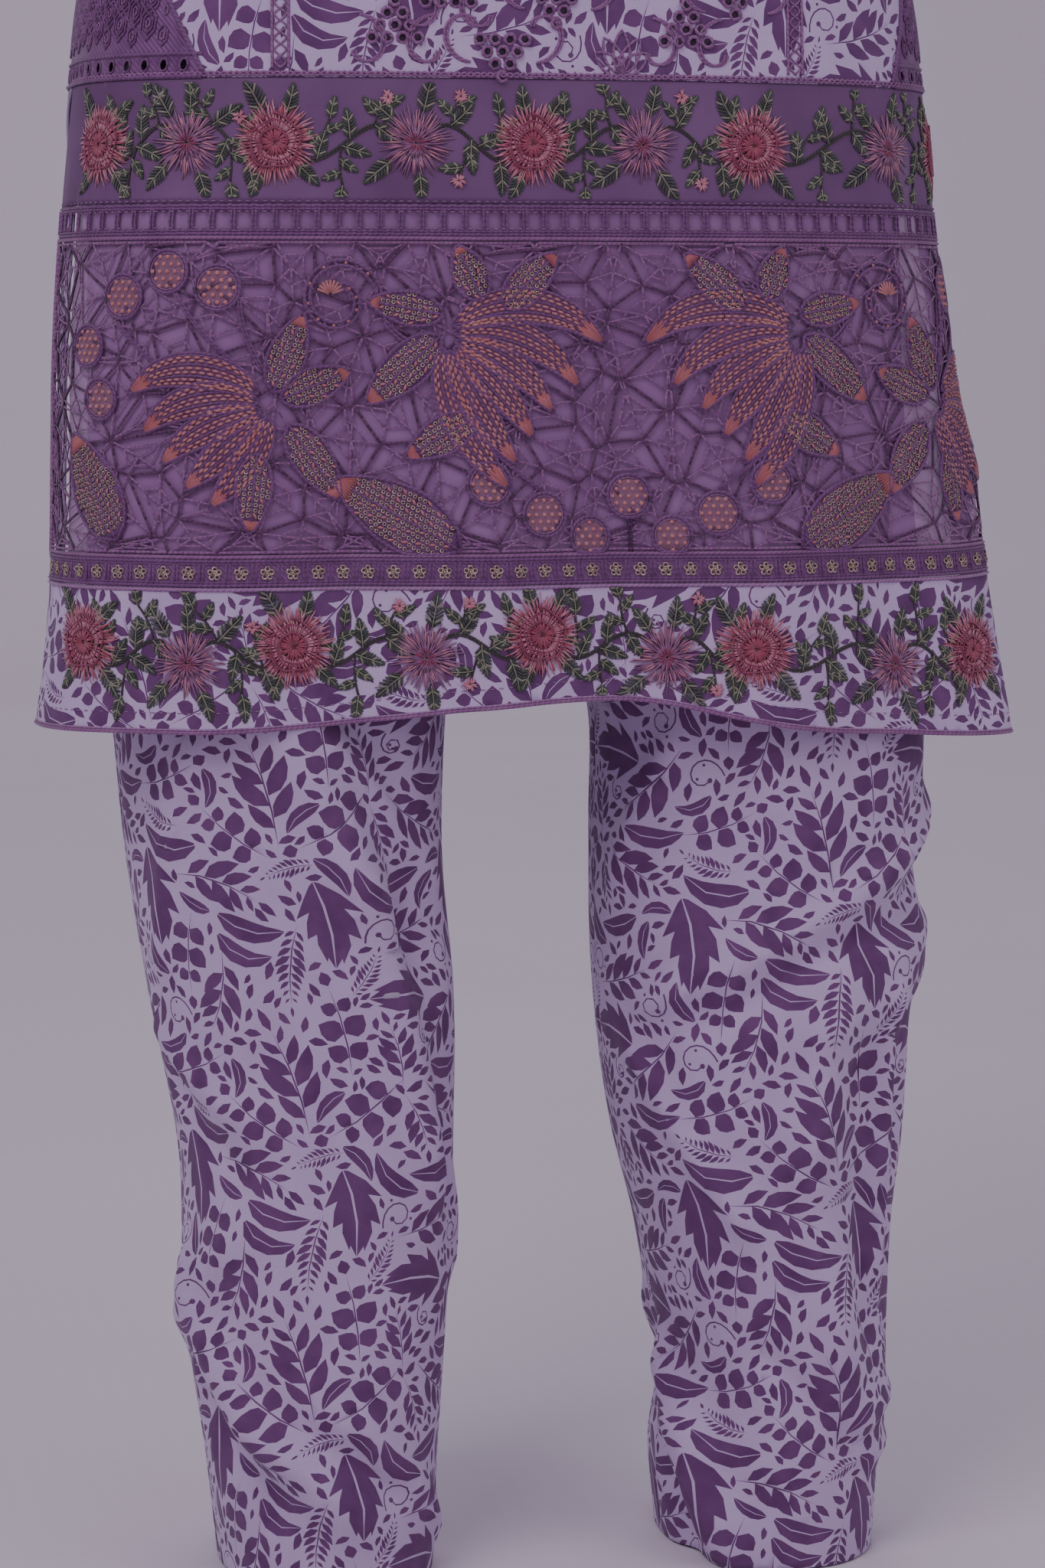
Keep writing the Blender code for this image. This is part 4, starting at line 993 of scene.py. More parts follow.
@dataclass
class PrintChart:
    """One repeat of the cotton's print: larger sprigs placed at random, then small leaves in the ground
    between.
    """

    width: float = 0.220
    height: float = 0.171
    cell: float = 0.0009
    fillers: int = 58
    tries: int = 900
    filler_tries: int = 2600
    seed: int = 11
    kinds: tuple[tuple[SprigKind, float, int], ...] = (
        (SprigKind.SERRATED, 0.060, 3),
        (SprigKind.OLIVE, 0.060, 6),
        (SprigKind.ROUND, 0.056, 5),
        (SprigKind.CURL, 0.042, 6),
        (SprigKind.FERN, 0.048, 5),
        (SprigKind.OLIVE, 0.042, 8),
        (SprigKind.TENDRIL, 0.046, 4),
        (SprigKind.ROUND, 0.036, 6),
        (SprigKind.FERN, 0.032, 3),
        (SprigKind.CURL, 0.026, 9),
        (SprigKind.OLIVE, 0.028, 6),
    )
    drawn: list[np.ndarray] = field(default_factory=list)

    def repeat(self) -> list[np.ndarray]:
        """Every inked shape of one repeat, the largest first, each where the ground is still free."""
        columns = int(round(self.width / self.cell))
        rows = int(round(self.height / self.cell))
        taken = np.zeros((rows, columns), bool)
        shapes = []
        chance = random.Random(self.seed)
        plan = [(kind, length, count, self.tries) for kind, length, count in self.kinds]
        small = (0.0108, 0.0078)
        plan += [(SprigKind.LEAFLET, length, self.fillers, self.filler_tries) for length in small]
        for kind, length, count, tries in plan:
            placed = 0
            for _ in range(tries):
                turn = chance.uniform(0.0, 360.0)
                bend = chance.uniform(18.0, 40.0) * chance.choice((-1.0, 1.0)) * kind.curl
                x = chance.uniform(0.0, self.width)
                y = chance.uniform(0.0, self.height)
                sprig = Sprig(kind, x, y, turn, length * chance.uniform(0.88, 1.12), bend)
                found = [shape if signed_area(shape) > 0 else shape[::-1] for shape in sprig.shapes()]
                row, column = self.cells(np.concatenate([self.filled(shape) for shape in found]))
                if taken[row % rows, column % columns].any():
                    continue
                for shape in found:
                    shapes.append(shape)
                    self.mark(taken, shape)
                placed += 1
                if placed == count:
                    break
        return shapes

    @staticmethod
    def filled(shape: np.ndarray) -> np.ndarray:
        """Points on a shape's edge and halfway to its middle."""
        middle = shape.mean(axis=0)
        between = (shape + np.roll(shape, -1, axis=0)) / 2
        return np.concatenate([shape, between, (shape + middle) / 2, middle[None]])

    def cells(self, points: np.ndarray) -> tuple[np.ndarray, np.ndarray]:
        """Rows and columns of the counting grid at points."""
        place = np.floor(points / self.cell).astype(int)
        return place[:, 1], place[:, 0]

    def mark(self, taken: np.ndarray, shape: np.ndarray) -> None:
        """Marks a shape's ground, and a cell round it, as taken; the repeat's edges join.

        Args:
            taken: the counting grid.
            shape: the inked shape.
        """
        row, column = self.cells(shape)
        rows = np.arange(row.min() - 1, row.max() + 2)
        columns = np.arange(column.min() - 1, column.max() + 2)
        grid_column, grid_row = np.meshgrid(columns, rows)
        middles = np.stack([grid_column.ravel() + 0.5, grid_row.ravel() + 0.5], -1) * self.cell
        found = inside(middles, shape).reshape(grid_row.shape)
        wide = found.copy()
        wide[1:] |= found[:-1]
        wide[:-1] |= found[1:]
        wide[:, 1:] |= found[:, :-1]
        wide[:, :-1] |= found[:, 1:]
        taken[grid_row[wide] % taken.shape[0], grid_column[wide] % taken.shape[1]] = True

    def over(self, outline: np.ndarray, shift: tuple[float, float]) -> list[np.ndarray]:
        """The repeats' shapes that reach a cut piece.

        Args:
            outline: the piece's edge.
            shift: where the chart's corner lies.

        Returns:
            The shapes.
        """
        low = outline.min(axis=0)
        high = outline.max(axis=0)
        size = np.array([self.width, self.height])
        first = np.floor((low - shift) / size).astype(int) - 1
        last = np.ceil((high - shift) / size).astype(int) + 1
        if not self.drawn:
            self.drawn = self.repeat()
        found = []
        for i in range(first[0], last[0]):
            for j in range(first[1], last[1]):
                offset = np.array(shift) + size * [i, j]
                for shape in self.drawn:
                    moved = shape + offset
                    if (moved.max(axis=0) > low).all() and (moved.min(axis=0) < high).all():
                        found.append(moved)
        return found


CHART = PrintChart()
FRONT_GRID = 0.008
HIDDEN_GRID = 0.012


def flat_faces(outline: np.ndarray, shapes: Sequence[np.ndarray], step: float) -> tuple:
    """Triangles of a cut piece laid flat, with the printed shapes' edges in them.

    Args:
        outline: the piece's edge, anticlockwise.
        shapes: printed shapes, anticlockwise.
        step: the spacing of the points between.

    Returns:
        Points, triangles, and which triangles are inked.
    """
    low = outline.min(axis=0)
    high = outline.max(axis=0)
    columns = np.arange(low[0] + step / 2, high[0], step)
    rows = np.arange(low[1] + step / 2, high[1], step)
    grid = np.stack(np.meshgrid(columns, rows), -1).reshape(-1, 2)
    points = [Vector(point) for point in outline.tolist()]
    polygons = [list(range(len(outline)))]
    for shape in shapes:
        first = len(points)
        points += [Vector(point) for point in shape.tolist()]
        polygons.append(list(range(first, len(points))))
    points += [Vector(point) for point in grid[inside(grid, outline)].tolist()]
    flat, _, faces, _, _, owners = delaunay_2d_cdt(points, [], polygons, 0, SAME_PLACE)
    kept = [i for i, owner in enumerate(owners) if 0 in owner]
    inked = np.array([len(owners[i]) > 1 for i in kept])
    faces = np.array([faces[i] for i in kept])
    flat = np.array([(point.x, point.y) for point in flat])
    used, faces = np.unique(faces, return_inverse=True)
    return flat[used], faces.reshape(-1, 3), inked


def border(faces: np.ndarray) -> np.ndarray:
    """The loop of points round a patch of triangles, in the triangles' own order.

    Args:
        faces: the triangles.

    Returns:
        The points' numbers.
    """
    sides = np.concatenate([faces[:, [0, 1]], faces[:, [1, 2]], faces[:, [2, 0]]])
    both = {(a, b) for a, b in sides.tolist()}
    onward = {a: b for a, b in both if (b, a) not in both}
    first = next(iter(onward))
    loop = [first]
    while onward[loop[-1]] != first:
        loop.append(onward[loop[-1]])
    return np.array(loop)


@dataclass
class ClothPiece:
    """A cut piece of printed cotton as a closed thin shell on its surface."""

    name: str
    outline: np.ndarray
    place: Place
    shift: tuple[float, float]
    out: float = 0.0
    both_sides: bool = False
    grid: float = FRONT_GRID
    wall: float = 0.0013

    def build(self) -> bpy.types.Object:
        """Lays the piece flat with its print, puts it in place and closes its edge.

        Returns:
            The object.
        """
        shapes = CHART.over(self.outline, self.shift)
        flat, faces, inked = flat_faces(self.outline, shapes, self.grid)
        shape = Shape()
        points, _ = self.place(flat[:, 0], flat[:, 1], self.out + COTTON_WALL / 2)
        face_first = shape.add(points, flat, faces, inked.astype(int))
        loop = border(faces)
        inner_flat, inner_faces, inner_inked = flat_faces(
            flat[loop], shapes if self.both_sides else [], self.grid
        )
        points, _ = self.place(inner_flat[:, 0], inner_flat[:, 1], self.out - self.wall)
        inner_first = shape.add(points, inner_flat, inner_faces[:, ::-1], 2 + inner_inked.astype(int))
        inner_loop = border(inner_faces)
        start = int(np.argmin(np.hypot(*(inner_flat[inner_loop] - flat[loop[0]]).T)))
        inner_loop = np.roll(inner_loop, -start)
        if len(loop) != len(inner_loop):
            raise ValueError(f"{self.name}: its two faces have unlike edges")
        outer = loop + face_first
        inner = inner_loop + inner_first
        rim = np.stack([np.roll(outer, -1), outer, inner, np.roll(inner, -1)], -1)
        shape.join(rim, 0)
        return shape.to_object(self.name, (GROUND, INK, REVERSE, REVERSE_INK))


def ring_outline(left: Curve, right: Curve, low: Curve, high: Curve, steps: int, rows: int) -> np.ndarray:
    """A cut piece's edge from its side edges and its seams.

    Args:
        left: across at a height, for the left edge.
        right: across at a height, for the right edge.
        low: height at a share of the width, for the lower seam.
        high: height at a share of the width, for the upper seam.
        steps: points along each seam.
        rows: points along each side edge.

    Returns:
        The edge, anticlockwise.
    """
    share = np.linspace(-1.0, 1.0, steps)

    def seam(height: Curve, offset: float) -> np.ndarray:
        """Points along a seam."""
        at = height(share) + offset
        start = left(at)
        return track(start + (right(at) - start) * (share + 1) / 2, at)

    bottom = seam(low, HALF_SEAM)
    top = seam(high, -HALF_SEAM)
    rise_right = np.linspace(bottom[-1, 1], top[-1, 1], rows)[1:-1]
    rise_left = np.linspace(top[0, 1], bottom[0, 1], rows)[1:-1]
    right_edge = track(right(rise_right), rise_right)
    left_edge = track(left(rise_left), rise_left)
    return np.concatenate([bottom, right_edge, top[::-1], left_edge])


@dataclass
class Cut:
    """The surfaces of the whole garment and the edges that its pieces share."""

    front: Sheet = field(default_factory=lambda: kameez_sheet(back=False))
    back: Sheet = field(default_factory=lambda: kameez_sheet(back=True))

    def flap(self, height: np.ndarray) -> np.ndarray:
        """Half the front flap's width."""
        return self.front.reach_at(height) - FRONT_SLIT

    def tail(self, height: np.ndarray) -> np.ndarray:
        """Half the back skirt's width, whose slits open downward."""
        opened = np.clip((HIP_SEAM - height) / (HIP_SEAM - BACK_SLIT_OPEN), 0.0, 1.0) ** 0.7
        return self.back.reach_at(height) - FRONT_SLIT - BACK_SLIT * opened

    def hem(self, share: np.ndarray) -> np.ndarray:
        """The front hem's height at a share of the flap's width."""
        drop = smooth_curve(FRONT_HEM_ACROSS, FRONT_HEM_DROP)
        return KAMEEZ_HEM - drop(share * float(self.flap(KAMEEZ_HEM)))

    def gore(self, side: int) -> Place:
        """Puts flat gore sizes round the side line, part on the front's surface and part on the back's.

        Args:
            side: -1 for the left gore, 1 for the right.

        Returns:
            The placing function.
        """

        def place(x: np.ndarray, y: np.ndarray, out: np.ndarray | float = 0.0) -> Placed:
            """Places flat points."""
            height = HIP_SEAM + y
            across = self.front.reach_at(height) - np.abs(x)
            on_front = (x * side <= 0)[..., None]
            front_points, front_normals = self.front.frame(side * across, height, out)
            back_points, back_normals = self.back.frame(-side * across, height, out)
            points = np.where(on_front, front_points, back_points)
            return points, np.where(on_front, front_normals, back_normals)

        return place

    def band(self, low: float, high: float) -> tuple[Place, float, float]:
        """Puts a flat band of the flap in place, its ends at the flap's edges at every height.

        Args:
            low: the band's lower seam.
            high: its upper seam.

        Returns:
            The placing function, half the band's flat width, and its height.
        """
        half = float(self.flap((low + high) / 2))

        def place(x: np.ndarray, y: np.ndarray, out: np.ndarray | float = 0.0) -> Placed:
            """Places flat points."""
            height = low + HALF_SEAM + y
            return self.front.frame(x / half * self.flap(height), height, out)

        return place, half, high - low - 2 * HALF_SEAM


@dataclass
class Kameez:
    """The printed pieces of the kameez."""

    cut: Cut

    def build(self) -> list[bpy.types.Object]:
        """Builds the body, skirt, hem band, facings and sleeves.

        Returns:
            The pieces.
        """
        return [*self.bodies(), self.skirt(), self.hem_band(), *self.facings(), *self.sleeves()]

    def bodies(self) -> list[bpy.types.Object]:
        """The front and the back, from the hip seam to the neck and shoulders."""
        made = []
        rows = (("front", self.cut.front, FRONT_NECK_DROP), ("back", self.cut.back, BACK_NECK_DROP))
        for face, sheet, drop in rows:
            far = body_edge(sheet, GORE_FAR)
            near = body_edge(sheet, GORE_NEAR)
            top = neck_and_shoulders(drop)
            outline = ring_outline(lambda h, far=far: -far(h), near, level(HIP_SEAM), top, steps=61, rows=60)
            shift = (-0.105, 0.900)
            piece = ClothPiece(f"{face}_print", outline, sheet.frame, shift, both_sides=face == "back")
            piece.grid = HIDDEN_GRID if face == "back" else FRONT_GRID
            obj = piece.build()
            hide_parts(f"{face}_body")
            made.append(obj)
        return made

    def skirt(self) -> bpy.types.Object:
        """The back skirt, from the hip seam to the hem."""
        tail = self.cut.tail
        low, high = level(KAMEEZ_HEM), level(HIP_SEAM)
        outline = ring_outline(lambda h: -tail(h), tail, low, high, steps=61, rows=46)
        place = (-0.060, 0.500)
        piece = ClothPiece("back_skirt_print", outline, self.cut.back.frame, place, 0.0, True, HIDDEN_GRID)
        obj = piece.build()
        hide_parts("back_skirt")
        return obj

    def hem_band(self) -> bpy.types.Object:
        """The printed band under the sequin strip."""
        flap = self.cut.flap
        outline = ring_outline(lambda h: -flap(h), flap, self.cut.hem, level(SEQUIN_LOW), steps=91, rows=12)
        obj = ClothPiece("hem_print", outline, self.cut.front.frame, (-0.020, 0.450)).build()
        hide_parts("hem_band")
        return obj

    def facings(self) -> list[bpy.types.Object]:
        """The strips behind the front's slit edges."""
        flap = self.cut.flap
        made = []
        for name, side in (("left", -1.0), ("right", 1.0)):
            inner = (lambda h: -flap(h), lambda h: -FACING_SHARE * flap(h))
            outer = (lambda h: FACING_SHARE * flap(h), flap)
            left, right = inner if side < 0 else outer
            outline = ring_outline(left, right, level(SEQUIN_LOW), level(HIP_SEAM), steps=6, rows=40)
            place = self.cut.front.frame
            obj = ClothPiece(f"facing_{name}_print", outline, place, (0.0, 0.52), -FACING_INSET).build()
            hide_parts(f"slit_facing_{name}")
            made.append(obj)
        return made

    def sleeve_sheet(self, side: int) -> Sheet:
        """The sleeve's surface, from its open end up to the armhole.

        Args:
            side: -1 for the left sleeve, 1 for the right.

        Returns:
            The sheet, whose height is cloth up from the open end.
        """
        turn = np.linspace(0.0, 2 * math.pi, LATTICE_COLUMNS)
        down = 1 - np.abs(1 - turn / math.pi)
        cloth = UNDERARM + YOKE_CLOTH * (1 - down)
        on_front = (turn <= math.pi)[:, None]
        front_loop = self.cut.front.at(side * armhole_edge(self.cut.front, cloth), cloth)
        back_loop = self.cut.back.at(-side * armhole_edge(self.cut.back, cloth), cloth)
        armhole = np.where(on_front, front_loop, back_loop)
        armhole[:, 0] += side * (ARMHOLE_GAP + UNDERARM_GAP * down**6)
        rings = [armhole]
        for row in SLEEVE:
            x = (row.inner_x + row.outer_x) / 2 + (row.outer_x - row.inner_x) / 2 * np.cos(turn)
            middle = (row.inner_height + row.outer_height) / 2
            z = middle + (row.outer_height - row.inner_height) / 2 * np.cos(turn) - SHOULDER
            ring = np.stack([side * x, -row.half_depth * np.sin(turn), z], -1)
            rings.append(ring * row.share + armhole * (1 - row.share))
        rings = np.array(rings)[::-1]
        steps = np.linalg.norm(np.diff(rings, axis=0), axis=-1).mean(axis=1)
        knots = np.concatenate([[0.0], np.cumsum(steps)])
        heights = lattice_heights(0.0, knots[-1])
        row = np.interp(heights, knots, np.arange(len(knots)))
        low = np.minimum(row.astype(int), len(rings) - 2)
        share = (row - low)[:, None, None]
        points = rings[low] * (1 - share) + rings[low + 1] * share
        if side > 0:
            points = points[:, ::-1]
        reach = 0.5 * np.linalg.norm(np.diff(points, axis=1), axis=-1).sum(axis=1)
        return Sheet(heights, points, reach)

    def sleeves(self) -> list[bpy.types.Object]:
        """The two sleeves, each cut in one and seamed below the arm."""
        made = []
        for name, side in (("left", -1), ("right", 1)):
            sheet = self.sleeve_sheet(side)
            top = float(sheet.heights[-1])

            def edge(height: np.ndarray, sheet: Sheet = sheet) -> np.ndarray:
                """Half the sleeve's width, less its seam."""
                return sheet.reach_at(height) - HALF_SEAM

            low, high = level(0.0), level(top)
            outline = ring_outline(lambda h, edge=edge: -edge(h), edge, low, high, steps=61, rows=50)
            place = (0.03, 0.02)
            obj = ClothPiece(f"sleeve_{name}_print", outline, sheet.frame, place, grid=HIDDEN_GRID).build()
            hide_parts(f"sleeve_{name}")
            made.append(obj)
        return made


@dataclass
class Trousers:
    """The printed trousers, two panels a leg."""

    def build(self) -> list[bpy.types.Object]:
        """Builds the four panels.

        Returns:
            The pieces.
        """
        made = []
        for side_name, side in (("left", -1), ("right", 1)):
            for face, back in (("front", False), ("back", True)):
                sheet = trouser_sheet(side, back)

                def edge(height: np.ndarray, sheet: Sheet = sheet) -> np.ndarray:
                    """Half the panel's width, less its seam."""
                    return sheet.reach_at(height) - SIDE_SEAM / 2

                low, high = level(0.0), level(WAIST)
                outline = ring_outline(lambda h, edge=edge: -edge(h), edge, low, high, steps=37, rows=130)
                shift = (0.02 * side + (0.07 if back else 0.0), 0.035 if side < 0 else 0.0)
                grid = HIDDEN_GRID if back else FRONT_GRID
                name = f"trouser_{face}_{side_name}_print"
                obj = ClothPiece(name, outline, sheet.frame, shift, grid=grid).build()
                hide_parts(f"trouser_{face}_{side_name}")
                made.append(obj)
        return made


@dataclass
class ThreadWork:
    """Cords, stitches and beads laid on a surface and collected into one mesh."""

    place: Place
    shape: Shape = field(default_factory=Shape)

    def cords(
        self,
        lines: np.ndarray,
        out: float | np.ndarray,
        radius: float | np.ndarray,
        finish: int,
        closed: bool = False,
        sides: int = 4,
    ) -> None:
        """Adds cords of few sides along lines in the surface's flat sizes.

        Args:
            lines: one line, or many with the same number of points.
            out: how far each point's middle lies out of the surface.
            radius: each point's radius.
            finish: the finish's number.
            closed: whether each line joins its own start.
            sides: 3 or 4.
        """
        lines = np.asarray(lines, float)
        lines = lines[None] if lines.ndim == 2 else lines
        count, steps = lines.shape[:2]
        points, normals = self.place(lines[..., 0], lines[..., 1], np.broadcast_to(out, (count, steps)))
        if closed:
            ahead = np.roll(points, -1, axis=1) - np.roll(points, 1, axis=1)
        else:
            ahead = np.gradient(points, axis=1)
        ahead /= np.linalg.norm(ahead, axis=-1, keepdims=True) + NO_LENGTH
        side = np.cross(ahead, normals)
        side /= np.linalg.norm(side, axis=-1, keepdims=True) + NO_LENGTH
        up = np.cross(side, ahead)
        turn = np.arange(sides) * 2 * math.pi / sides - (math.pi / 2 if sides == 3 else 0.0)
        size = np.broadcast_to(radius, (count, steps))[..., None, None]
        circle_points = np.cos(turn)[:, None] * side[..., None, :] + np.sin(turn)[:, None] * up[..., None, :]
        ring = points[..., None, :] + size * circle_points
        run = np.cumsum(np.linalg.norm(np.diff(lines, axis=1, prepend=lines[:, :1]), axis=-1), axis=1)
        around = np.abs(np.arange(sides) - sides / 2)[None, None, :] * size[..., 0]
        flats = np.stack([np.broadcast_to(run[..., None], around.shape), around], -1)
        first = np.arange(count)[:, None] * steps * sides
        k = np.arange(steps if closed else steps - 1)
        here = (first + k * sides)[..., None] + np.arange(sides)
        there = (first + (k + 1) % steps * sides)[..., None] + np.arange(sides)
        corners = [here, there, np.roll(there, -1, axis=-1), np.roll(here, -1, axis=-1)]
        faces = np.stack(corners, -1).reshape(-1, 4)
        start = self.shape.add(ring.reshape(-1, 3), flats.reshape(-1, 2), faces, finish)
        if not closed:
            near = start + first + np.arange(sides)
            far = start + first + (steps - 1) * sides + np.arange(sides)[::-1]
            self.shape.join(near, finish)
            self.shape.join(far, finish)

    def stitches(self, middles: np.ndarray, turn: np.ndarray, length: float, radius: float, finish: int,
                 out: float = 0.0006) -> None:
        """Adds short raised stitches.

        Args:
            middles: where they lie.
            turn: each one's direction, in radians.
            length: their length.
            radius: half their thickness.
            finish: the finish's number.
            out: how far out their ends lie.
        """
        way = unit(turn) * length / 2
        lines = np.stack([middles - way, middles, middles + way], 1)
        rise = np.array([out, out + 0.6 * radius, out])
        self.cords(lines, rise, np.array([0.7, 1.1, 0.7]) * radius, finish, sides=3)

    def beads(self, middles: np.ndarray, radius: float, height: float, finish: int, out: float = 0.0,
              sides: int = 6) -> None:
        """Adds low round domes with closed undersides.

        Args:
            middles: where they lie.
            radius: their radius.
            height: their height.
            finish: the finish's number.
            out: how far out their undersides lie.
            sides: corners round each.
        """
        middles = np.atleast_2d(middles)
        turn = np.arange(sides) * 2 * math.pi / sides
        circle_points = unit(turn)
        rings = []
        for share, lift in ((1.0, 0.0), (0.75, 0.7), (0.0, 1.0)):
            rings.append((middles[:, None] + radius * share * circle_points, out + lift * height))
        flat = np.concatenate([ring for ring, _ in rings[:2]] + [rings[2][0][:, :1]], axis=1)
        lift = np.concatenate([np.full(sides, rings[0][1]), np.full(sides, rings[1][1]), [rings[2][1]]])
        points, _ = self.place(flat[..., 0], flat[..., 1], np.broadcast_to(lift, flat.shape[:2]))
        base = np.arange(len(middles))[:, None] * (2 * sides + 1)
        i = np.arange(sides)
        j = (i + 1) % sides
        walls = np.stack([base + i, base + j, base + sides + j, base + sides + i], -1).reshape(-1, 4)
        tops = np.stack([base + sides + i, base + sides + j, base + 2 * sides + 0 * i], -1).reshape(-1, 3)
        start = self.shape.add(points.reshape(-1, 3), flat.reshape(-1, 2), walls, finish)
        self.shape.join(tops + start, finish)
        self.shape.join(base + i[::-1] + start, finish)

    def rings(self, middles: np.ndarray, radius: float, wire: float, finish: int, out: float = 0.0006,
              steps: int = 6, sides: int = 3) -> None:
        """Adds small rings, such as sequins and eyelets.

        Args:
            middles: where they lie.
            radius: the ring's own radius.
            wire: half the ring's thickness.
            finish: the finish's number.
            out: how far out they lie.
            steps: corners round each.
            sides: corners of the ring's own section.
        """
        middles = np.atleast_2d(middles)
        turn = np.arange(steps) * 2 * math.pi / steps
        lines = middles[:, None] + radius * unit(turn)
        tilt = 0.35 * radius * np.cos(turn[None] + 2.4 * np.arange(len(middles))[:, None])
        self.cords(lines, out + tilt, wire, finish, closed=True, sides=sides)

    def plate(self, outline: np.ndarray, wall: float, finish: int, out: float = 0.0, step: float = 0.008,
              holes: Sequence[np.ndarray] = ()) -> None:
        """Adds a thin closed shape cut to an outline.

        Args:
            outline: its edge.
            wall: its thickness.
            finish: the finish's number.
            out: how far out its middle lies.
            step: the spacing of the points between.
            holes: shapes that are cut out of it.
        """
        outline = outline if signed_area(outline) > 0 else outline[::-1]
        flat, faces, cut = flat_faces(outline, holes, step)
        faces = faces[~cut]
        top, _ = self.place(flat[:, 0], flat[:, 1], out + wall / 2)
        low, _ = self.place(flat[:, 0], flat[:, 1], out - wall / 2)
        sides = np.concatenate([faces[:, [0, 1]], faces[:, [1, 2]], faces[:, [2, 0]]])
        both = {(a, b) for a, b in sides.tolist()}
        rim = np.array([(a, b) for a, b in sides.tolist() if (b, a) not in both])
        start = self.shape.add(np.concatenate([top, low]), np.concatenate([flat, flat]), faces, finish)
        under = faces[:, ::-1] + len(flat)
        walls = np.stack([rim[:, 1], rim[:, 0], rim[:, 0] + len(flat), rim[:, 1] + len(flat)], -1)
        self.shape.join(under + start, finish)
        self.shape.join(walls + start, finish)


def circle(x: float, y: float, radius: float, steps: int = 16) -> np.ndarray:
    """A closed round line."""
    turn = np.arange(steps) * 2 * math.pi / steps
    return np.array([x, y]) + radius * unit(turn)


THREAD_PATCH = 90.0
Colour = tuple[float, float, float]


def cord_finish(name: str, colour: Colour, other: Colour, pitch: float = 0.0016, relief: float = 0.8,
                roughness: float = 0.55) -> Finish:
    """A twisted cord's finish."""
    return Finish(name, colour, other, THREAD_PATCH, Reading.TWIST, pitch, relief, roughness)


def satin_finish(name: str, colour: Colour, other: Colour, roughness: float = 0.45, pitch: float = 0.0006,
                 patch: float = THREAD_PATCH, relief: float = 0.6) -> Finish:
    """A finish of parallel satin threads."""
    return Finish(name, colour, other, patch, Reading.SATIN, pitch, relief, roughness)


PURPLE = cord_finish("thread_purple", (0.290, 0.090, 0.280), (0.380, 0.150, 0.360))
PLUM = cord_finish("thread_plum", (0.185, 0.048, 0.195), (0.255, 0.080, 0.265))
LILAC = cord_finish("thread_lilac", (0.38, 0.16, 0.38), (0.48, 0.24, 0.48), relief=0.7, roughness=0.5)
MAUVE = satin_finish("thread_mauve", (0.225, 0.062, 0.190), (0.300, 0.100, 0.255), 0.6, 0.0008, 70.0, 0.8)
SALMON = satin_finish("thread_salmon", (0.58, 0.18, 0.20), (0.68, 0.28, 0.28), pitch=0.0007, patch=80.0)
CORAL = satin_finish("thread_coral", (0.50, 0.12, 0.14), (0.60, 0.20, 0.20), pitch=0.0007, patch=80.0)
PINK = satin_finish("thread_pink", (0.66, 0.20, 0.28), (0.78, 0.34, 0.42))
ROSE = satin_finish("thread_rose", (0.42, 0.06, 0.12), (0.54, 0.11, 0.18))
MAGENTA = cord_finish("thread_magenta", (0.30, 0.03, 0.10), (0.38, 0.06, 0.15), 0.0008, 0.6, 0.5)
THISTLE = satin_finish("thread_thistle", (0.31, 0.10, 0.24), (0.42, 0.18, 0.34), 0.5)
GREEN = satin_finish("thread_green", (0.040, 0.052, 0.040), (0.085, 0.105, 0.080), 0.5)
SAGE = satin_finish("thread_sage", (0.25, 0.25, 0.17), (0.37, 0.35, 0.26), 0.5)
STEM = cord_finish("thread_stem", (0.035, 0.022, 0.030), (0.065, 0.050, 0.050), 0.0012)
SEQUIN = Finish("sequin", (0.42, 0.31, 0.24), (0.62, 0.50, 0.40), 400.0, Reading.SATIN, 0.004,
                relief=0.1, roughness=0.30, sheen=0.0, metallic=0.6)
# Painted shade: a near-black colour for the dark seen through an eyelet's hole
EYELET_SHADE = Finish("eyelet_painted_shade", (0.030, 0.012, 0.035), (0.045, 0.020, 0.050), THREAD_PATCH, relief=0.2)
NET = Finish("berry_net", (0.32, 0.13, 0.23), (0.40, 0.19, 0.29), 200.0, pitch=0.0008, relief=0.7, alpha=0.82)
ORGANZA = Finish("organza_weave", (0.160, 0.062, 0.180), (0.260, 0.115, 0.280), 14.0, pitch=0.0007,
                 relief=0.2, roughness=0.6, sheen=0.05, alpha=0.80)
VOILE = Finish("voile_weave", (0.44, 0.20, 0.46), (0.54, 0.28, 0.56), 10.0, pitch=0.0007,
               relief=0.2, roughness=0.6, sheen=0.1, alpha=0.58)
ROOM_PAINT = Finish("room_paint", (0.76, 0.69, 0.75), (0.79, 0.72, 0.79), patch=1.5, relief=0.05, sheen=0.0)


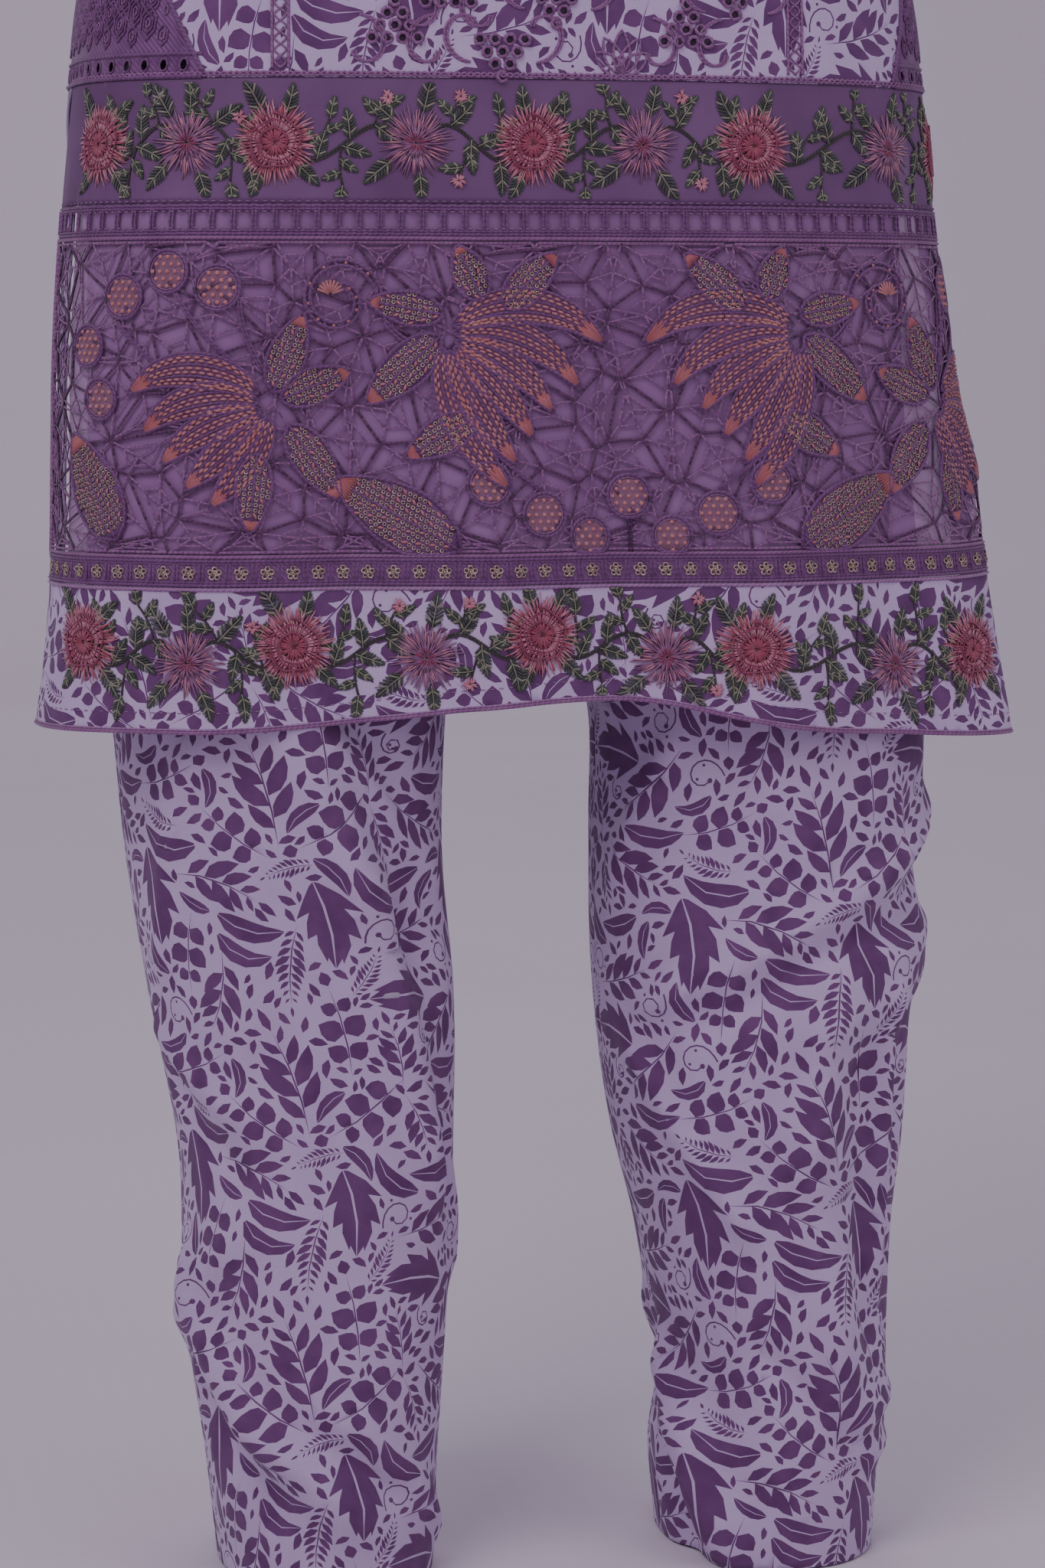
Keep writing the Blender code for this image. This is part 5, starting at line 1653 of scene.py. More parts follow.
@dataclass
class RoseVine:
    """A border of roses and thistle heads on a leafy stem."""

    name: str
    place: Place
    roses: tuple[tuple[float, float], ...]
    thistles: tuple[tuple[float, float], ...]
    size: float = 0.0235
    seed: int = 3

    PALETTE = (PINK, ROSE, MAGENTA, THISTLE, GREEN, SAGE, STEM)
    LIGHT, DARK, HEART, MAUVE_HEAD, BLADE, VEIN, BARK = range(7)

    def build(self, low: Callable[[np.ndarray], np.ndarray], high: float) -> bpy.types.Object:
        """Builds the vine.

        Args:
            low: the lower edge of its ground at places across.
            high: the upper edge.

        Returns:
            The object.
        """
        self.work = ThreadWork(self.place)
        self.chance = random.Random(self.seed)
        self.low = low
        self.high = high - 0.003
        heads = sorted([(*rose, True) for rose in self.roses] + [(*head, False) for head in self.thistles])
        for i, ((x0, y0, _), (x1, y1, _)) in enumerate(zip(heads, heads[1:])):
            self.stem(np.array([x0, y0]), np.array([x1, y1]), 1.0 if i % 2 else -1.0)
        for x, y, is_rose in heads:
            self.head_leaves(x, y, is_rose)
            if is_rose:
                self.rose(x, y)
            else:
                self.thistle(x, y)
        return self.work.shape.to_object(self.name, self.PALETTE)

    def kept(self, lines: np.ndarray) -> np.ndarray:
        """Lines held inside the ground's edges."""
        lines[..., 1] = np.clip(lines[..., 1], self.low(lines[..., 0]) + 0.004, self.high)
        return lines

    def tuft(self, x: float, y: float, count: int, inner: tuple[float, float], outer: tuple[float, float],
             finish: int, out: float, thick: float = 0.00048) -> None:
        """Threads that run outwards round a middle.

        Args:
            x: the middle's place across.
            y: its height.
            count: how many threads.
            inner: the nearest and farthest start.
            outer: the nearest and farthest end.
            finish: the finish's number.
            out: how far out they lie.
            thick: half a thread's thickness.
        """
        turn = np.array([2 * math.pi * (i + self.chance.uniform(-0.4, 0.4)) / count for i in range(count)])
        start = np.array([self.chance.uniform(*inner) for _ in range(count)])
        end = np.array([self.chance.uniform(*outer) for _ in range(count)])
        swirl = np.array([self.chance.uniform(-0.12, 0.12) for _ in range(count)])
        radii = np.stack([start, (start + end) / 2, end], -1)
        angle = turn[:, None] + swirl[:, None] * np.array([0.0, 0.5, 1.0])
        lines = np.array([x, y]) + radii[..., None] * unit(angle)
        lines = self.kept(lines)
        rise = out + np.array([0.0003, 0.0008, 0.0])
        self.work.cords(lines, rise, np.array([0.9, 1.1, 0.6]) * thick, finish, sides=3)

    def rose(self, x: float, y: float) -> None:
        """A round rose: a fringe, two rings of petals and a spiral."""
        size = self.size
        self.work.beads(np.array([[x, y]]), 0.72 * size, 0.0012, self.DARK, sides=14)
        self.tuft(x, y, 86, (0.52 * size, 0.62 * size), (0.86 * size, 1.08 * size), self.LIGHT, 0.0006)
        self.tuft(x, y, 44, (0.50 * size, 0.60 * size), (0.74 * size, 0.98 * size), self.DARK, 0.0010)
        self.tuft(x, y, 64, (0.30 * size, 0.36 * size), (0.60 * size, 0.72 * size), self.LIGHT, 0.0014)
        self.tuft(x, y, 34, (0.04 * size, 0.10 * size), (0.34 * size, 0.42 * size), self.DARK, 0.0017)
        share = np.linspace(0.0, 1.0, 34)
        for radius, turns, start in ((0.62, 2.6, 0.4), (0.66, 0.72, 3.4), (0.52, 0.6, 1.2)):
            shrink = 0.15 + 0.85 * share if turns > 1 else 1.0 - 0.12 * np.sin(math.pi * share)
            reach = radius * size * shrink
            angle = start + turns * 2 * math.pi * share
            waved = reach * (1 + 0.06 * np.sin(5 * angle))
            line = np.array([x, y]) + waved[:, None] * unit(angle)
            self.work.cords(line, 0.0024, 0.00055, self.HEART)

    def thistle(self, x: float, y: float) -> None:
        """A loose head of mauve threads."""
        size = 0.92 * self.size
        self.work.beads(np.array([[x, y]]), 0.45 * size, 0.0010, self.MAUVE_HEAD, sides=10)
        self.tuft(x, y, 74, (0.15 * size, 0.40 * size), (0.70 * size, 1.05 * size), self.MAUVE_HEAD, 0.0006)
        self.tuft(x, y, 26, (0.30 * size, 0.50 * size), (0.60 * size, 0.95 * size), self.LIGHT, 0.0010, 0.0004)
        self.tuft(x, y, 40, (0.02 * size, 0.10 * size), (0.40 * size, 0.55 * size), self.MAUVE_HEAD, 0.0014)
        self.tuft(x, y, 12, (0.02 * size, 0.10 * size), (0.25 * size, 0.40 * size), self.HEART, 0.0019)

    def leaf(self, x: float, y: float, turn: float, length: float) -> None:
        """A leaf of satin threads slanting from its midrib.

        Args:
            x: its foot across.
            y: its foot's height.
            turn: its direction in degrees.
            length: its length.
        """
        leaf = Frond(x, y, turn, length, self.chance.uniform(-24, 24), 0.42 * length)
        along = np.linspace(0.06, 0.84, 9)
        for side in (1.0, -1.0):
            start = leaf.at(along, 0.0)
            end = leaf.at(np.clip(along + 0.18, 0, 0.98), 1.08 * side)
            lines = np.stack([start, (start + end) / 2, end], 1)
            lines = self.kept(lines)
            light = np.arange(len(along)) % 4 == 1
            for chosen, finish, lift in ((~light, self.BLADE, 0.0010), (light, self.VEIN, 0.0014)):
                self.work.cords(lines[chosen], np.array([0.0004, lift, 0.0004]), 0.00066, finish, sides=3)
        midrib = leaf.at(np.linspace(0.0, 0.9, 5), 0.0)
        midrib = self.kept(midrib)
        self.work.cords(midrib, 0.0014, 0.00035, self.VEIN)

    def head_leaves(self, x: float, y: float, is_rose: bool) -> None:
        """The leaves that stand out from behind a head."""
        for turn in (118, 62, 246, 304) if is_rose else (132, 80, 228, 290):
            turn += self.chance.uniform(-14, 14)
            reach = 0.70 * self.size
            way = np.array([math.cos(math.radians(turn)), math.sin(math.radians(turn))]) * reach
            self.leaf(x + way[0], y + way[1], turn, self.chance.uniform(0.018, 0.024))

    def stem(self, start: np.ndarray, end: np.ndarray, bow: float) -> None:
        """A corded stem between two heads, with leaves and a bud beside it.

        Args:
            start: one head.
            end: the next head.
            bow: which way it bows first, and how much.
        """
        share = np.linspace(0.0, 1.0, 18)
        gap = end - start
        wave = 0.010 * bow * np.sin(2 * math.pi * share)
        line = start + gap * share[:, None] + track(0.0, wave)
        for shift in (-0.00055, 0.00055):
            self.work.cords(line + [0.0, shift], 0.0005, 0.0008, self.BARK)
        for at, side in ((5, 1.0), (8, -1.0), (9, 1.0), (12, -1.0)):
            heading = math.degrees(math.atan2(*(line[at + 1] - line[at - 1])[::-1]))
            turn = heading + side * self.chance.uniform(48, 74)
            self.leaf(line[at, 0], line[at, 1], turn, self.chance.uniform(0.016, 0.021))
        for at, way in ((5, 1.0), (8, -1.0), (12, 1.0)):
            self.twig(line[at, 0], line[at, 1], way)

    def twig(self, x: float, y: float, way: float) -> None:
        """A short twig up or down from the stem, with leaves and a bud.

        Args:
            x: its foot across.
            y: its foot's height.
            way: 1 for up, -1 for down.
        """
        room = (self.high - y) if way > 0 else (y - float(self.low(x)) - 0.004)
        length = min(0.024, room - 0.006)
        if length < 0.008:
            return
        turn = 90.0 * way + self.chance.uniform(-26, 26)
        twig = Frond(x, y, turn, length, self.chance.uniform(-40, 40), 0.001)
        line = twig.at(np.linspace(0, 1, 7), 0.0)
        self.work.cords(line, 0.0005, 0.00075, self.BARK)
        for at, side in ((2, 1.0), (4, -1.0)):
            self.leaf(line[at, 0], line[at, 1], turn + side * 58, self.chance.uniform(0.011, 0.015))
        if self.chance.random() < 0.4:
            x, y = line[-1]
            self.tuft(x, y, 14, (0.0004, 0.001), (0.003, 0.005), self.LIGHT, 0.0008, 0.0006)
        else:
            self.leaf(line[-1, 0], line[-1, 1], turn, self.chance.uniform(0.013, 0.017))


PETALS = (
    Frond(0.102, 0.132, 158, 0.100, 78, 0.021),
    Frond(0.101, 0.128, 178, 0.086, 68, 0.020),
    Frond(0.100, 0.123, 198, 0.072, 48, 0.018),
    Frond(0.101, 0.120, 222, 0.070, 20, 0.018),
    Frond(0.104, 0.118, 246, 0.076, -16, 0.018),
    Frond(0.108, 0.120, 262, 0.092, -44, 0.020),
    Frond(0.212, 0.094, 28, 0.082, -76, 0.020),
    Frond(0.212, 0.089, 8, 0.074, -62, 0.019),
    Frond(0.211, 0.084, -14, 0.066, -38, 0.018),
    Frond(0.209, 0.081, -40, 0.062, -8, 0.018),
    Frond(0.206, 0.080, -64, 0.062, 22, 0.018),
)
LEAVES = (
    Frond(0.072, 0.142, 138, 0.046, 0, 0.021),
    Frond(0.084, 0.146, 66, 0.034, 0, 0.020),
    Frond(0.106, 0.138, 10, 0.044, 0, 0.019),
    Frond(0.108, 0.126, -42, 0.058, 0, 0.024),
    Frond(0.090, 0.080, -30, 0.046, 0, 0.021),
    Frond(0.100, 0.004, 30, 0.082, 0, 0.036),
    Frond(0.204, 0.094, 112, 0.048, 0, 0.021),
    Frond(0.200, 0.090, 158, 0.044, 0, 0.020),
    Frond(0.196, 0.076, 236, 0.052, 0, 0.022),
    Frond(0.214, 0.060, 276, 0.046, 0, 0.020),
    Frond(0.296, 0.010, 60, 0.070, 0, 0.034),
)
BERRIES = (
    (0.000, 0.034, 0.0130),
    (0.024, 0.011, 0.0120),
    (0.051, 0.024, 0.0130),
    (0.083, 0.042, 0.0130),
    (0.234, 0.153, 0.0130),
    (0.263, 0.162, 0.0125),
    (0.292, 0.148, 0.0130),
    (0.318, 0.120, 0.0125),
    (0.308, 0.090, 0.0120),
)


@dataclass
class CutworkLace:
    """The wide lace band: stitched flowers, sequinned leaves and berries on an open web of cords."""

    cut: Cut
    mirror: float = 0.045
    spacing: float = 0.031
    row_step: float = 0.87
    waver: float = 0.30
    edge: float = 0.0035
    scroll: tuple[float, float, float] = (0.166, 0.146, 0.025)

    PALETTE = (PURPLE, MAUVE, SALMON, CORAL, SEQUIN, NET, PLUM)
    CORD, FELT, STITCH, TIP, SEQUINS, NETTING, EDGE = range(7)

    def build(self) -> list[bpy.types.Object]:
        """Builds the web, the motifs and the sheer cloth behind them.

        Returns:
            The pieces.
        """
        place, self.half, self.height = self.cut.band(CUTWORK_LOW, LADDER_LOW)
        self.place = place
        self.outlines = [frond.outline(12) for frond in PETALS + LEAVES]
        self.outlines += [circle(x, y, radius) for x, y, radius in BERRIES]
        both = []
        for side in (1.0, -1.0):
            both += [self.flip(outline, side) for outline in self.outlines]
        web = ThreadWork(place)
        self.web(web, both)
        web_object = web.shape.to_object("cutwork_web", self.PALETTE)
        motifs = ThreadWork(place)
        threads = ThreadWork(place)
        for side in (1.0, -1.0):
            for petal in PETALS:
                if self.fits(petal.outline(12), side):
                    self.petal(motifs, threads, petal, side)
            for leaf in LEAVES:
                if self.fits(leaf.outline(12), side):
                    self.leaf(motifs, threads, leaf, side)
            for x, y, radius in BERRIES:
                if (x > 0.0 or side > 0) and self.fits(circle(x, y, radius), side):
                    self.berry(motifs, threads, x, y, radius, side)
            self.scrolls(threads, side)
        motif_object = motifs.shape.to_object("cutwork_motifs", self.PALETTE)
        thread_object = threads.shape.to_object("cutwork_threads", self.PALETTE)
        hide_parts("cutwork_band")
        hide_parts("cutwork_band")
        return [web_object, motif_object, thread_object, self.voile()]

    def flip(self, points: np.ndarray, side: float) -> np.ndarray:
        """Places half the pattern's points to one side of its mirror line, inside the band."""
        moved = np.asarray(points) * [side, 1.0] + [self.mirror, 0.0]
        margin = self.edge / 2
        return np.clip(moved, [-self.half + margin, margin], [self.half - margin, self.height - margin])

    def fits(self, outline: np.ndarray, side: float) -> bool:
        """Whether most of a motif lies inside the band."""
        return abs(signed_area(self.flip(outline, side))) > 0.35 * abs(signed_area(outline))

    def cells(self) -> list[np.ndarray]:
        """The web's cells: each the ground nearest its seed."""
        low = np.array([-self.half, 0.0]) + self.edge
        high = np.array([self.half, self.height]) - self.edge
        step = self.spacing * self.row_step
        seeds = []
        for row in range(-1, int((high[1] - low[1]) / step) + 2):
            for column in range(-1, int((high[0] - low[0]) / self.spacing) + 2):
                x = column + 0.5 * (row % 2) + self.waver * math.sin(2.1 * column + 3.7 * row)
                y = row + self.waver * math.sin(3.3 * column - 1.9 * row + 1.0)
                seeds.append((low[0] + x * self.spacing, low[1] + y * step))
        seeds = np.array(seeds)
        cells = []
        for seed in seeds:
            cell = [(low[0], low[1]), (high[0], low[1]), (high[0], high[1]), (low[0], high[1])]
            away = seeds - seed
            distance = np.hypot(*away.T)
            for j in np.argsort(distance)[1:14]:
                cell = clip_half_plane(cell, seed + away[j] / 2, away[j] / distance[j])
                if len(cell) < 3:
                    break
            if len(cell) >= 3 and signed_area(np.array(cell)) > 2e-5:
                cells.append(np.array(cell))
        return cells

    def web(self, work: ThreadWork, motifs: Sequence[np.ndarray]) -> None:
        """Cords round every cell and across it, left out where a motif lies over them.

        Args:
            work: where the cords go.
            motifs: the motifs' outlines.
        """
        bars = []
        for cell in self.cells():
            middle = cell.mean(axis=0)
            ring = middle + 0.52 * (cell - middle)
            for a, b, inner, ahead in zip(cell, np.roll(cell, -1, axis=0), ring, np.roll(ring, -1, axis=0)):
                if np.hypot(*(b - a)) > 0.003:
                    bars.append((a, b, 0.00100))
                    bars.append((inner, ahead, 0.00060))
                bars.append((middle, a, 0.00070))
        lines = []
        sizes = []
        for a, b, size in bars:
            cuts = np.linspace(0.0, 1.0, max(2, int(np.hypot(*(b - a)) / 0.008) + 1))
            for start, end in zip(cuts, cuts[1:]):
                lines.append((a + (b - a) * start, a + (b - a) * (start + end) / 2, a + (b - a) * end))
                sizes.append(size)
        lines = np.array(lines)
        covered = np.zeros(len(lines), bool)
        for motif in motifs:
            covered |= inside(lines[:, 0], motif) & inside(lines[:, 2], motif)
        sizes = np.array(sizes)[~covered, None]
        work.cords(lines[~covered], 0.0, sizes, self.CORD, sides=3)
        left, right, top = -self.half, self.half, self.height
        across = np.linspace(left, right, 160)
        for height in (0.0009, top - 0.0009):
            work.cords(track(across, height), 0.0004, 0.0012, self.CORD)
        up = np.linspace(0.0, top, 60)
        for x in (left + 0.0008, right - 0.0008):
            scallop = 0.0005 * np.sin(up * 900)
            work.cords(track(x + scallop, up), 0.0, 0.0015, self.CORD)

    def petal(self, motifs: ThreadWork, threads: ThreadWork, petal: Frond, side: float) -> None:
        """A petal: a stitched ground, cords along it, rows of short stitches and a satin tip.

        Args:
            motifs: where its ground goes.
            threads: where its threads go.
            petal: its form.
            side: which half of the pattern it is on.
        """
        motifs.plate(self.flip(petal.outline(12), side), 0.0010, self.FELT, step=0.010)
        along = np.linspace(0.0, 1.0, 16)
        for edge, size in ((-1.0, 0.0010), (1.0, 0.0010), (-0.33, 0.0007), (0.33, 0.0007)):
            threads.cords(self.flip(petal.at(along, edge), side), 0.0007, size, self.EDGE)
        threads.cords(self.flip(petal.at(along, 0.86), side), 0.0007, 0.0005, self.CORD)
        rows = np.array([-0.80, -0.55, -0.12, 0.12, 0.55, 0.74])
        count = max(3, int(0.74 * petal.length / 0.0046))
        for i, row in enumerate(rows):
            steps = (np.arange(count) + (0.5 if i % 2 else 0.1)) / count * 0.74 + 0.06
            before = self.flip(petal.at(steps - 0.01, row), side)
            after = self.flip(petal.at(steps + 0.01, row), side)
            turn = np.arctan2(*(after - before).T[::-1])
            threads.stitches((before + after) / 2, turn, 0.0034, 0.00085, self.STITCH)
        tip = np.linspace(-0.8, 0.8, 11)
        start = petal.at(0.82 + 0.03 * np.cos(9 * tip), tip)
        end = petal.at(0.955 + 0 * tip, tip * 0.8)
        lines = np.stack([start, (start + end) / 2, end], 1)
        threads.cords(self.flip(lines, side), 0.0008, 0.0007, self.TIP)

    def leaf(self, motifs: ThreadWork, threads: ThreadWork, leaf: Frond, side: float) -> None:
        """A leaf: cords at its edge and midrib, rows of sequins, and satin at its tip and foot.

        Args:
            motifs: where its ground goes.
            threads: where its threads go.
            leaf: its form.
            side: which half of the pattern it is on.
        """
        motifs.plate(self.flip(leaf.outline(12), side), 0.0010, self.EDGE, step=0.010)
        along = np.linspace(0.0, 1.0, 14)
        for edge in (-1.0, 1.0):
            threads.cords(self.flip(leaf.at(along, edge), side), 0.0007, 0.0011, self.EDGE)
        threads.cords(self.flip(leaf.at(along[:-2], 0.0), side), 0.0009, 0.0009, self.EDGE)
        pitch = 0.0031
        sequins = []
        stitches = []
        turns = []
        for i, at in enumerate(np.arange(0.10, 0.84, pitch / leaf.length)):
            half = float(leaf.half(np.array(at)))
            columns = int((half - 0.0016) / pitch)
            for j in range(columns + 1):
                for way in (-1.0, 1.0):
                    across = way * (0.0019 + j * pitch) / max(half, SAME_PLACE)
                    if abs(across) > 0.86:
                        continue
                    point = leaf.at(np.array(at + 0.012 * j), across)
                    if (i * 2 + j + (1 if way > 0 else 0)) % 5 == 0:
                        stitches.append(point)
                        turns.append(math.radians(leaf.turn + way * 30))
                    else:
                        sequins.append(point)
        if sequins:
            threads.rings(self.flip(np.array(sequins), side), 0.00105, 0.00042, self.SEQUINS, out=0.0009)
        if stitches:
            turn = np.array(turns) if side > 0 else math.pi - np.array(turns)
            threads.stitches(self.flip(np.array(stitches), side), turn, 0.0036, 0.0008, self.STITCH)
        tip = np.linspace(-0.8, 0.8, 9)
        start = leaf.at(0.84 + 0 * tip, tip)
        end = leaf.at(0.96 + 0 * tip, tip * 0.8)
        threads.cords(self.flip(np.stack([start, (start + end) / 2, end], 1), side), 0.0008, 0.0007, self.TIP)

    def berry(self, motifs: ThreadWork, threads: ThreadWork, x: float, y: float, radius: float,
              side: float) -> None:
        """A berry: a net disc in a corded ring, with satin dots.

        Args:
            motifs: where its net goes.
            threads: where its threads go.
            x: its middle across.
            y: its middle's height.
            radius: its radius.
            side: which half of the pattern it is on.
        """
        motifs.plate(self.flip(circle(x, y, radius), side), 0.0005, self.NETTING, step=0.012)
        rims = ((radius - 0.0004, 0.0011, self.EDGE), (radius - 0.0021, 0.0005, self.CORD))
        for reach, size, finish in rims:
            threads.cords(self.flip(circle(x, y, reach, 20), side), 0.0006, size, finish, closed=True)
        pitch = 0.0047
        dots = []
        for row in range(-3, 4):
            for column in range(-3, 4):
                point = np.array([(column + 0.5 * (row % 2)) * pitch, row * pitch * 0.87])
                if np.hypot(*point) < radius - 0.0030:
                    dots.append(point + [x, y])
        threads.beads(self.flip(np.array(dots), side), 0.0015, 0.0013, self.STITCH)

    def scrolls(self, threads: ThreadWork, side: float) -> None:
        """The stemmed curl between the two flowers, and stems that join the berries.

        Args:
            threads: where its threads go.
            side: which half of the pattern it is on.
        """
        x, y, radius = self.scroll
        share = np.linspace(0.0, 1.0, 44)
        angle = math.radians(200) - share * 2 * math.pi * 1.45
        reach = radius * (1.0 - 0.78 * share)
        curl = np.array([x, y]) + reach[:, None] * unit(angle)
        for shift in (-0.0016, 0.0016):
            moved = np.array([x, y]) + (reach + shift)[:, None] * unit(angle)
            threads.cords(self.flip(moved, side), 0.0004, 0.0010, self.EDGE)
        threads.beads(self.flip(curl[2:-6:3], side), 0.0011, 0.0010, self.STITCH, out=0.0002)
        self.fan(threads, curl[-1], side)
        foot = np.array([0.118, 0.128])
        joint = curl[0]
        for shift in (-0.0014, 0.0014):
            steps = share[::4, None]
            sag = 0.010 * np.sin(math.pi * steps) * [-0.3, -1.0]
            line = foot + (joint - foot) * steps + [0.0, shift] + sag
            threads.cords(self.flip(line, side), 0.0004, 0.0010, self.EDGE)
        stems = (
            (0.000, 0.021, 0.000, 0.000, 0.0),
            (0.051, 0.037, 0.094, 0.074, 0.004),
            (0.222, 0.146, 0.206, 0.100, 0.004),
            (0.258, 0.150, 0.212, 0.098, 0.006),
            (0.296, 0.134, 0.262, 0.104, 0.004),
        )
        for x0, y0, x1, y1, bow in stems:
            steps = share[::5, None]
            line = np.array([x0, y0]) * (1 - steps) + np.array([x1, y1]) * steps
            line = line + bow * np.sin(math.pi * steps) * [1.0, 0.4]
            for shift in (-0.0008, 0.0008):
                threads.cords(self.flip(line + [shift, 0.0], side), 0.0003, 0.0008, self.EDGE)

    def fan(self, threads: ThreadWork, middle: np.ndarray, side: float) -> None:
        """The satin fan at a curl's heart."""
        turn = np.radians(np.linspace(20, 160, 9))
        way = unit(turn)
        lines = np.stack([middle + 0.001 * way, middle + 0.0045 * way, middle + 0.008 * way], 1)
        threads.cords(self.flip(lines, side), np.array([0.0006, 0.0012, 0.0006]), 0.0008, self.STITCH)

    def voile(self) -> bpy.types.Object:
        """The sheer cloth that hangs behind the ladder and the lace, short of both slits."""
        work = ThreadWork(self.cut.front.frame)

        def edge(height: np.ndarray) -> np.ndarray:
            """Half its width at a height."""
            return 0.885 * self.cut.flap(height)

        low = level(CUTWORK_LOW + 0.0005)
        outline = ring_outline(lambda h: -edge(h), edge, low, level(ORGANZA_LOW), steps=90, rows=30)
        work.plate(outline, 0.0003, 0, out=-0.0018)
        obj = work.shape.to_object("sheer_backing", (VOILE,))
        return obj


def clip_half_plane(polygon: list, point: np.ndarray, normal: np.ndarray) -> list:
    """The part of a convex polygon on the inner side of a line."""
    kept = []
    for a, b in zip(polygon, polygon[1:] + polygon[:1]):
        da = (a[0] - point[0]) * normal[0] + (a[1] - point[1]) * normal[1]
        db = (b[0] - point[0]) * normal[0] + (b[1] - point[1]) * normal[1]
        if da <= 0:
            kept.append(a)
        if (da < 0 < db) or (db < 0 < da):
            t = da / (da - db)
            kept.append((a[0] + t * (b[0] - a[0]), a[1] + t * (b[1] - a[1])))
    return kept


@dataclass
class Borders:
    """The organza band, the ladder, the sequin strip and the hem's trimmings."""

    cut: Cut
    pitch: float = 0.0118
    cell: float = 0.0145

    def build(self) -> list[bpy.types.Object]:
        """Builds the borders.

        Returns:
            The pieces.
        """
        return [self.organza(), self.ladder(), self.sequins(), self.hem_trim()]

    def organza(self) -> bpy.types.Object:
        """The sheer band below the hip seam."""
        work = ThreadWork(self.cut.front.frame)
        flap = self.cut.flap
        low, high = level(ORGANZA_LOW), level(HIP_SEAM)
        outline = ring_outline(lambda h: -flap(h), flap, low, high, steps=100, rows=12)
        work.plate(outline, 0.0004, 0)
        obj = work.shape.to_object("organza_cloth", (ORGANZA,))
        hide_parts("organza_band")
        return obj

    def running(self, work: ThreadWork, half: float, height: float, pitch: float, finish: int) -> None:
        """A row of short stitches along a band.

        Args:
            work: where they go.
            half: half the row's length.
            height: the row's height.
            pitch: the spacing.
            finish: the finish's number.
        """
        across = np.arange(-half + pitch, half - pitch / 2, pitch)
        middles = track(across, height)
        work.stitches(middles, 0 * across, 0.62 * pitch, 0.00045, finish)

    def ladder(self) -> bpy.types.Object:
        """Two whipped rails with doubled cords between them as rungs."""
        place, half, height = self.cut.band(LADDER_LOW, ORGANZA_LOW)
        work = ThreadWork(place)
        across = np.linspace(-half + 0.001, half - 0.001, 240)
        rails = ((0.0010, 0.0011), (0.0027, 0.0009), (height - 0.0027, 0.0009), (height - 0.0010, 0.0011))
        for low, size in rails:
            whip = 0.00022 * np.sin(across * 2 * math.pi / 0.0045)
            work.cords(track(across, low + whip), 0.0003, size, 0)
        for low in (0.0042, height - 0.0042, -0.0016, height + 0.0016):
            self.running(work, half, low, 0.0048, 1)
        count = int(2 * half / self.pitch)
        middles = (np.arange(count) - (count - 1) / 2) * self.pitch
        rise = np.linspace(0.002, height - 0.002, 6)
        for shift in (-0.0009, 0.0009):
            wobble = 0.0002 * np.sin(np.arange(6) * 2.2)
            work.cords(track(middles[:, None] + shift + wobble, rise), 0.0003, 0.0008, 0)
        for x in (-half + 0.0008, half - 0.0008):
            work.cords(track(x, rise), 0.0, 0.0015, 0)
        obj = work.shape.to_object("ladder_cords", (PLUM, PURPLE))
        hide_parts("ladder_band")
        return obj

    def sequins(self) -> bpy.types.Object:
        """The strip of cells, each with a small rosette of sequins."""
        place, half, height = self.cut.band(SEQUIN_LOW, CUTWORK_LOW)
        work = ThreadWork(place)
        across = np.linspace(-half, half, 120)
        outline = np.concatenate([track(across, 0.0), track(across[::-1], height)])
        ground = ThreadWork(place)
        ground.plate(outline, 0.0010, 0)
        strip = ground.shape.to_object("sequin_ground", (PLUM,))
        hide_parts("sequin_strip")
        line = np.linspace(-half + 0.001, half - 0.001, 240)
        rails = ((0.0010, 0.0011), (0.0026, 0.0007), (height - 0.0026, 0.0007), (height - 0.0010, 0.0011))
        for low, size in rails:
            work.cords(track(line, low), 0.0006, size, 0)
        self.running(work, half, -0.0016, 0.0048, 1)
        count = int(2 * half / self.cell)
        middles = (np.arange(count) - (count - 1) / 2) * self.cell
        rise = np.linspace(0.002, height - 0.002, 3)
        for shift in (-0.0011, 0.0011):
            bars = middles[:-1] + self.cell / 2 + shift
            work.cords(track(bars[:, None], rise), 0.0006, 0.0008, 0)
        turn = np.arange(5) * 2 * math.pi / 5 + 0.3
        petals = 0.0025 * unit(turn)
        hearts = track(middles, height / 2)
        work.rings((hearts[:, None] + petals).reshape(-1, 2), 0.0014, 0.00055, 2, out=0.0011)
        work.beads(hearts, 0.0011, 0.0012, 2, out=0.0006)
        obj = work.shape.to_object("sequin_cells", (PLUM, PURPLE, SEQUIN))
        return obj

    def hem_trim(self) -> bpy.types.Object:
        """The hem band's piping, overlocked edge and running stitch."""
        work = ThreadWork(self.cut.front.frame)
        share = np.linspace(-0.998, 0.998, 260)
        low = self.cut.hem(share)
        across = share * self.cut.flap(low)
        for lift, size, finish in ((0.0008, 0.0011, 0), (0.0024, 0.0006, 1)):
            work.cords(track(across, low + lift), 0.0004, size, finish)
        stitch = share[::2]
        line = low[::2] + 0.012
        middles = track(stitch * self.cut.flap(line), line)
        work.stitches(middles, 0 * stitch, 0.0026, 0.00030, 1, out=0.0004)
        top = SEQUIN_LOW - 0.0014
        flap = float(self.cut.flap(top))
        work.cords(track(share * flap, top), 0.0006, 0.0012, 1)
        obj = work.shape.to_object("hem_trimming", (PURPLE, LILAC))
        return obj


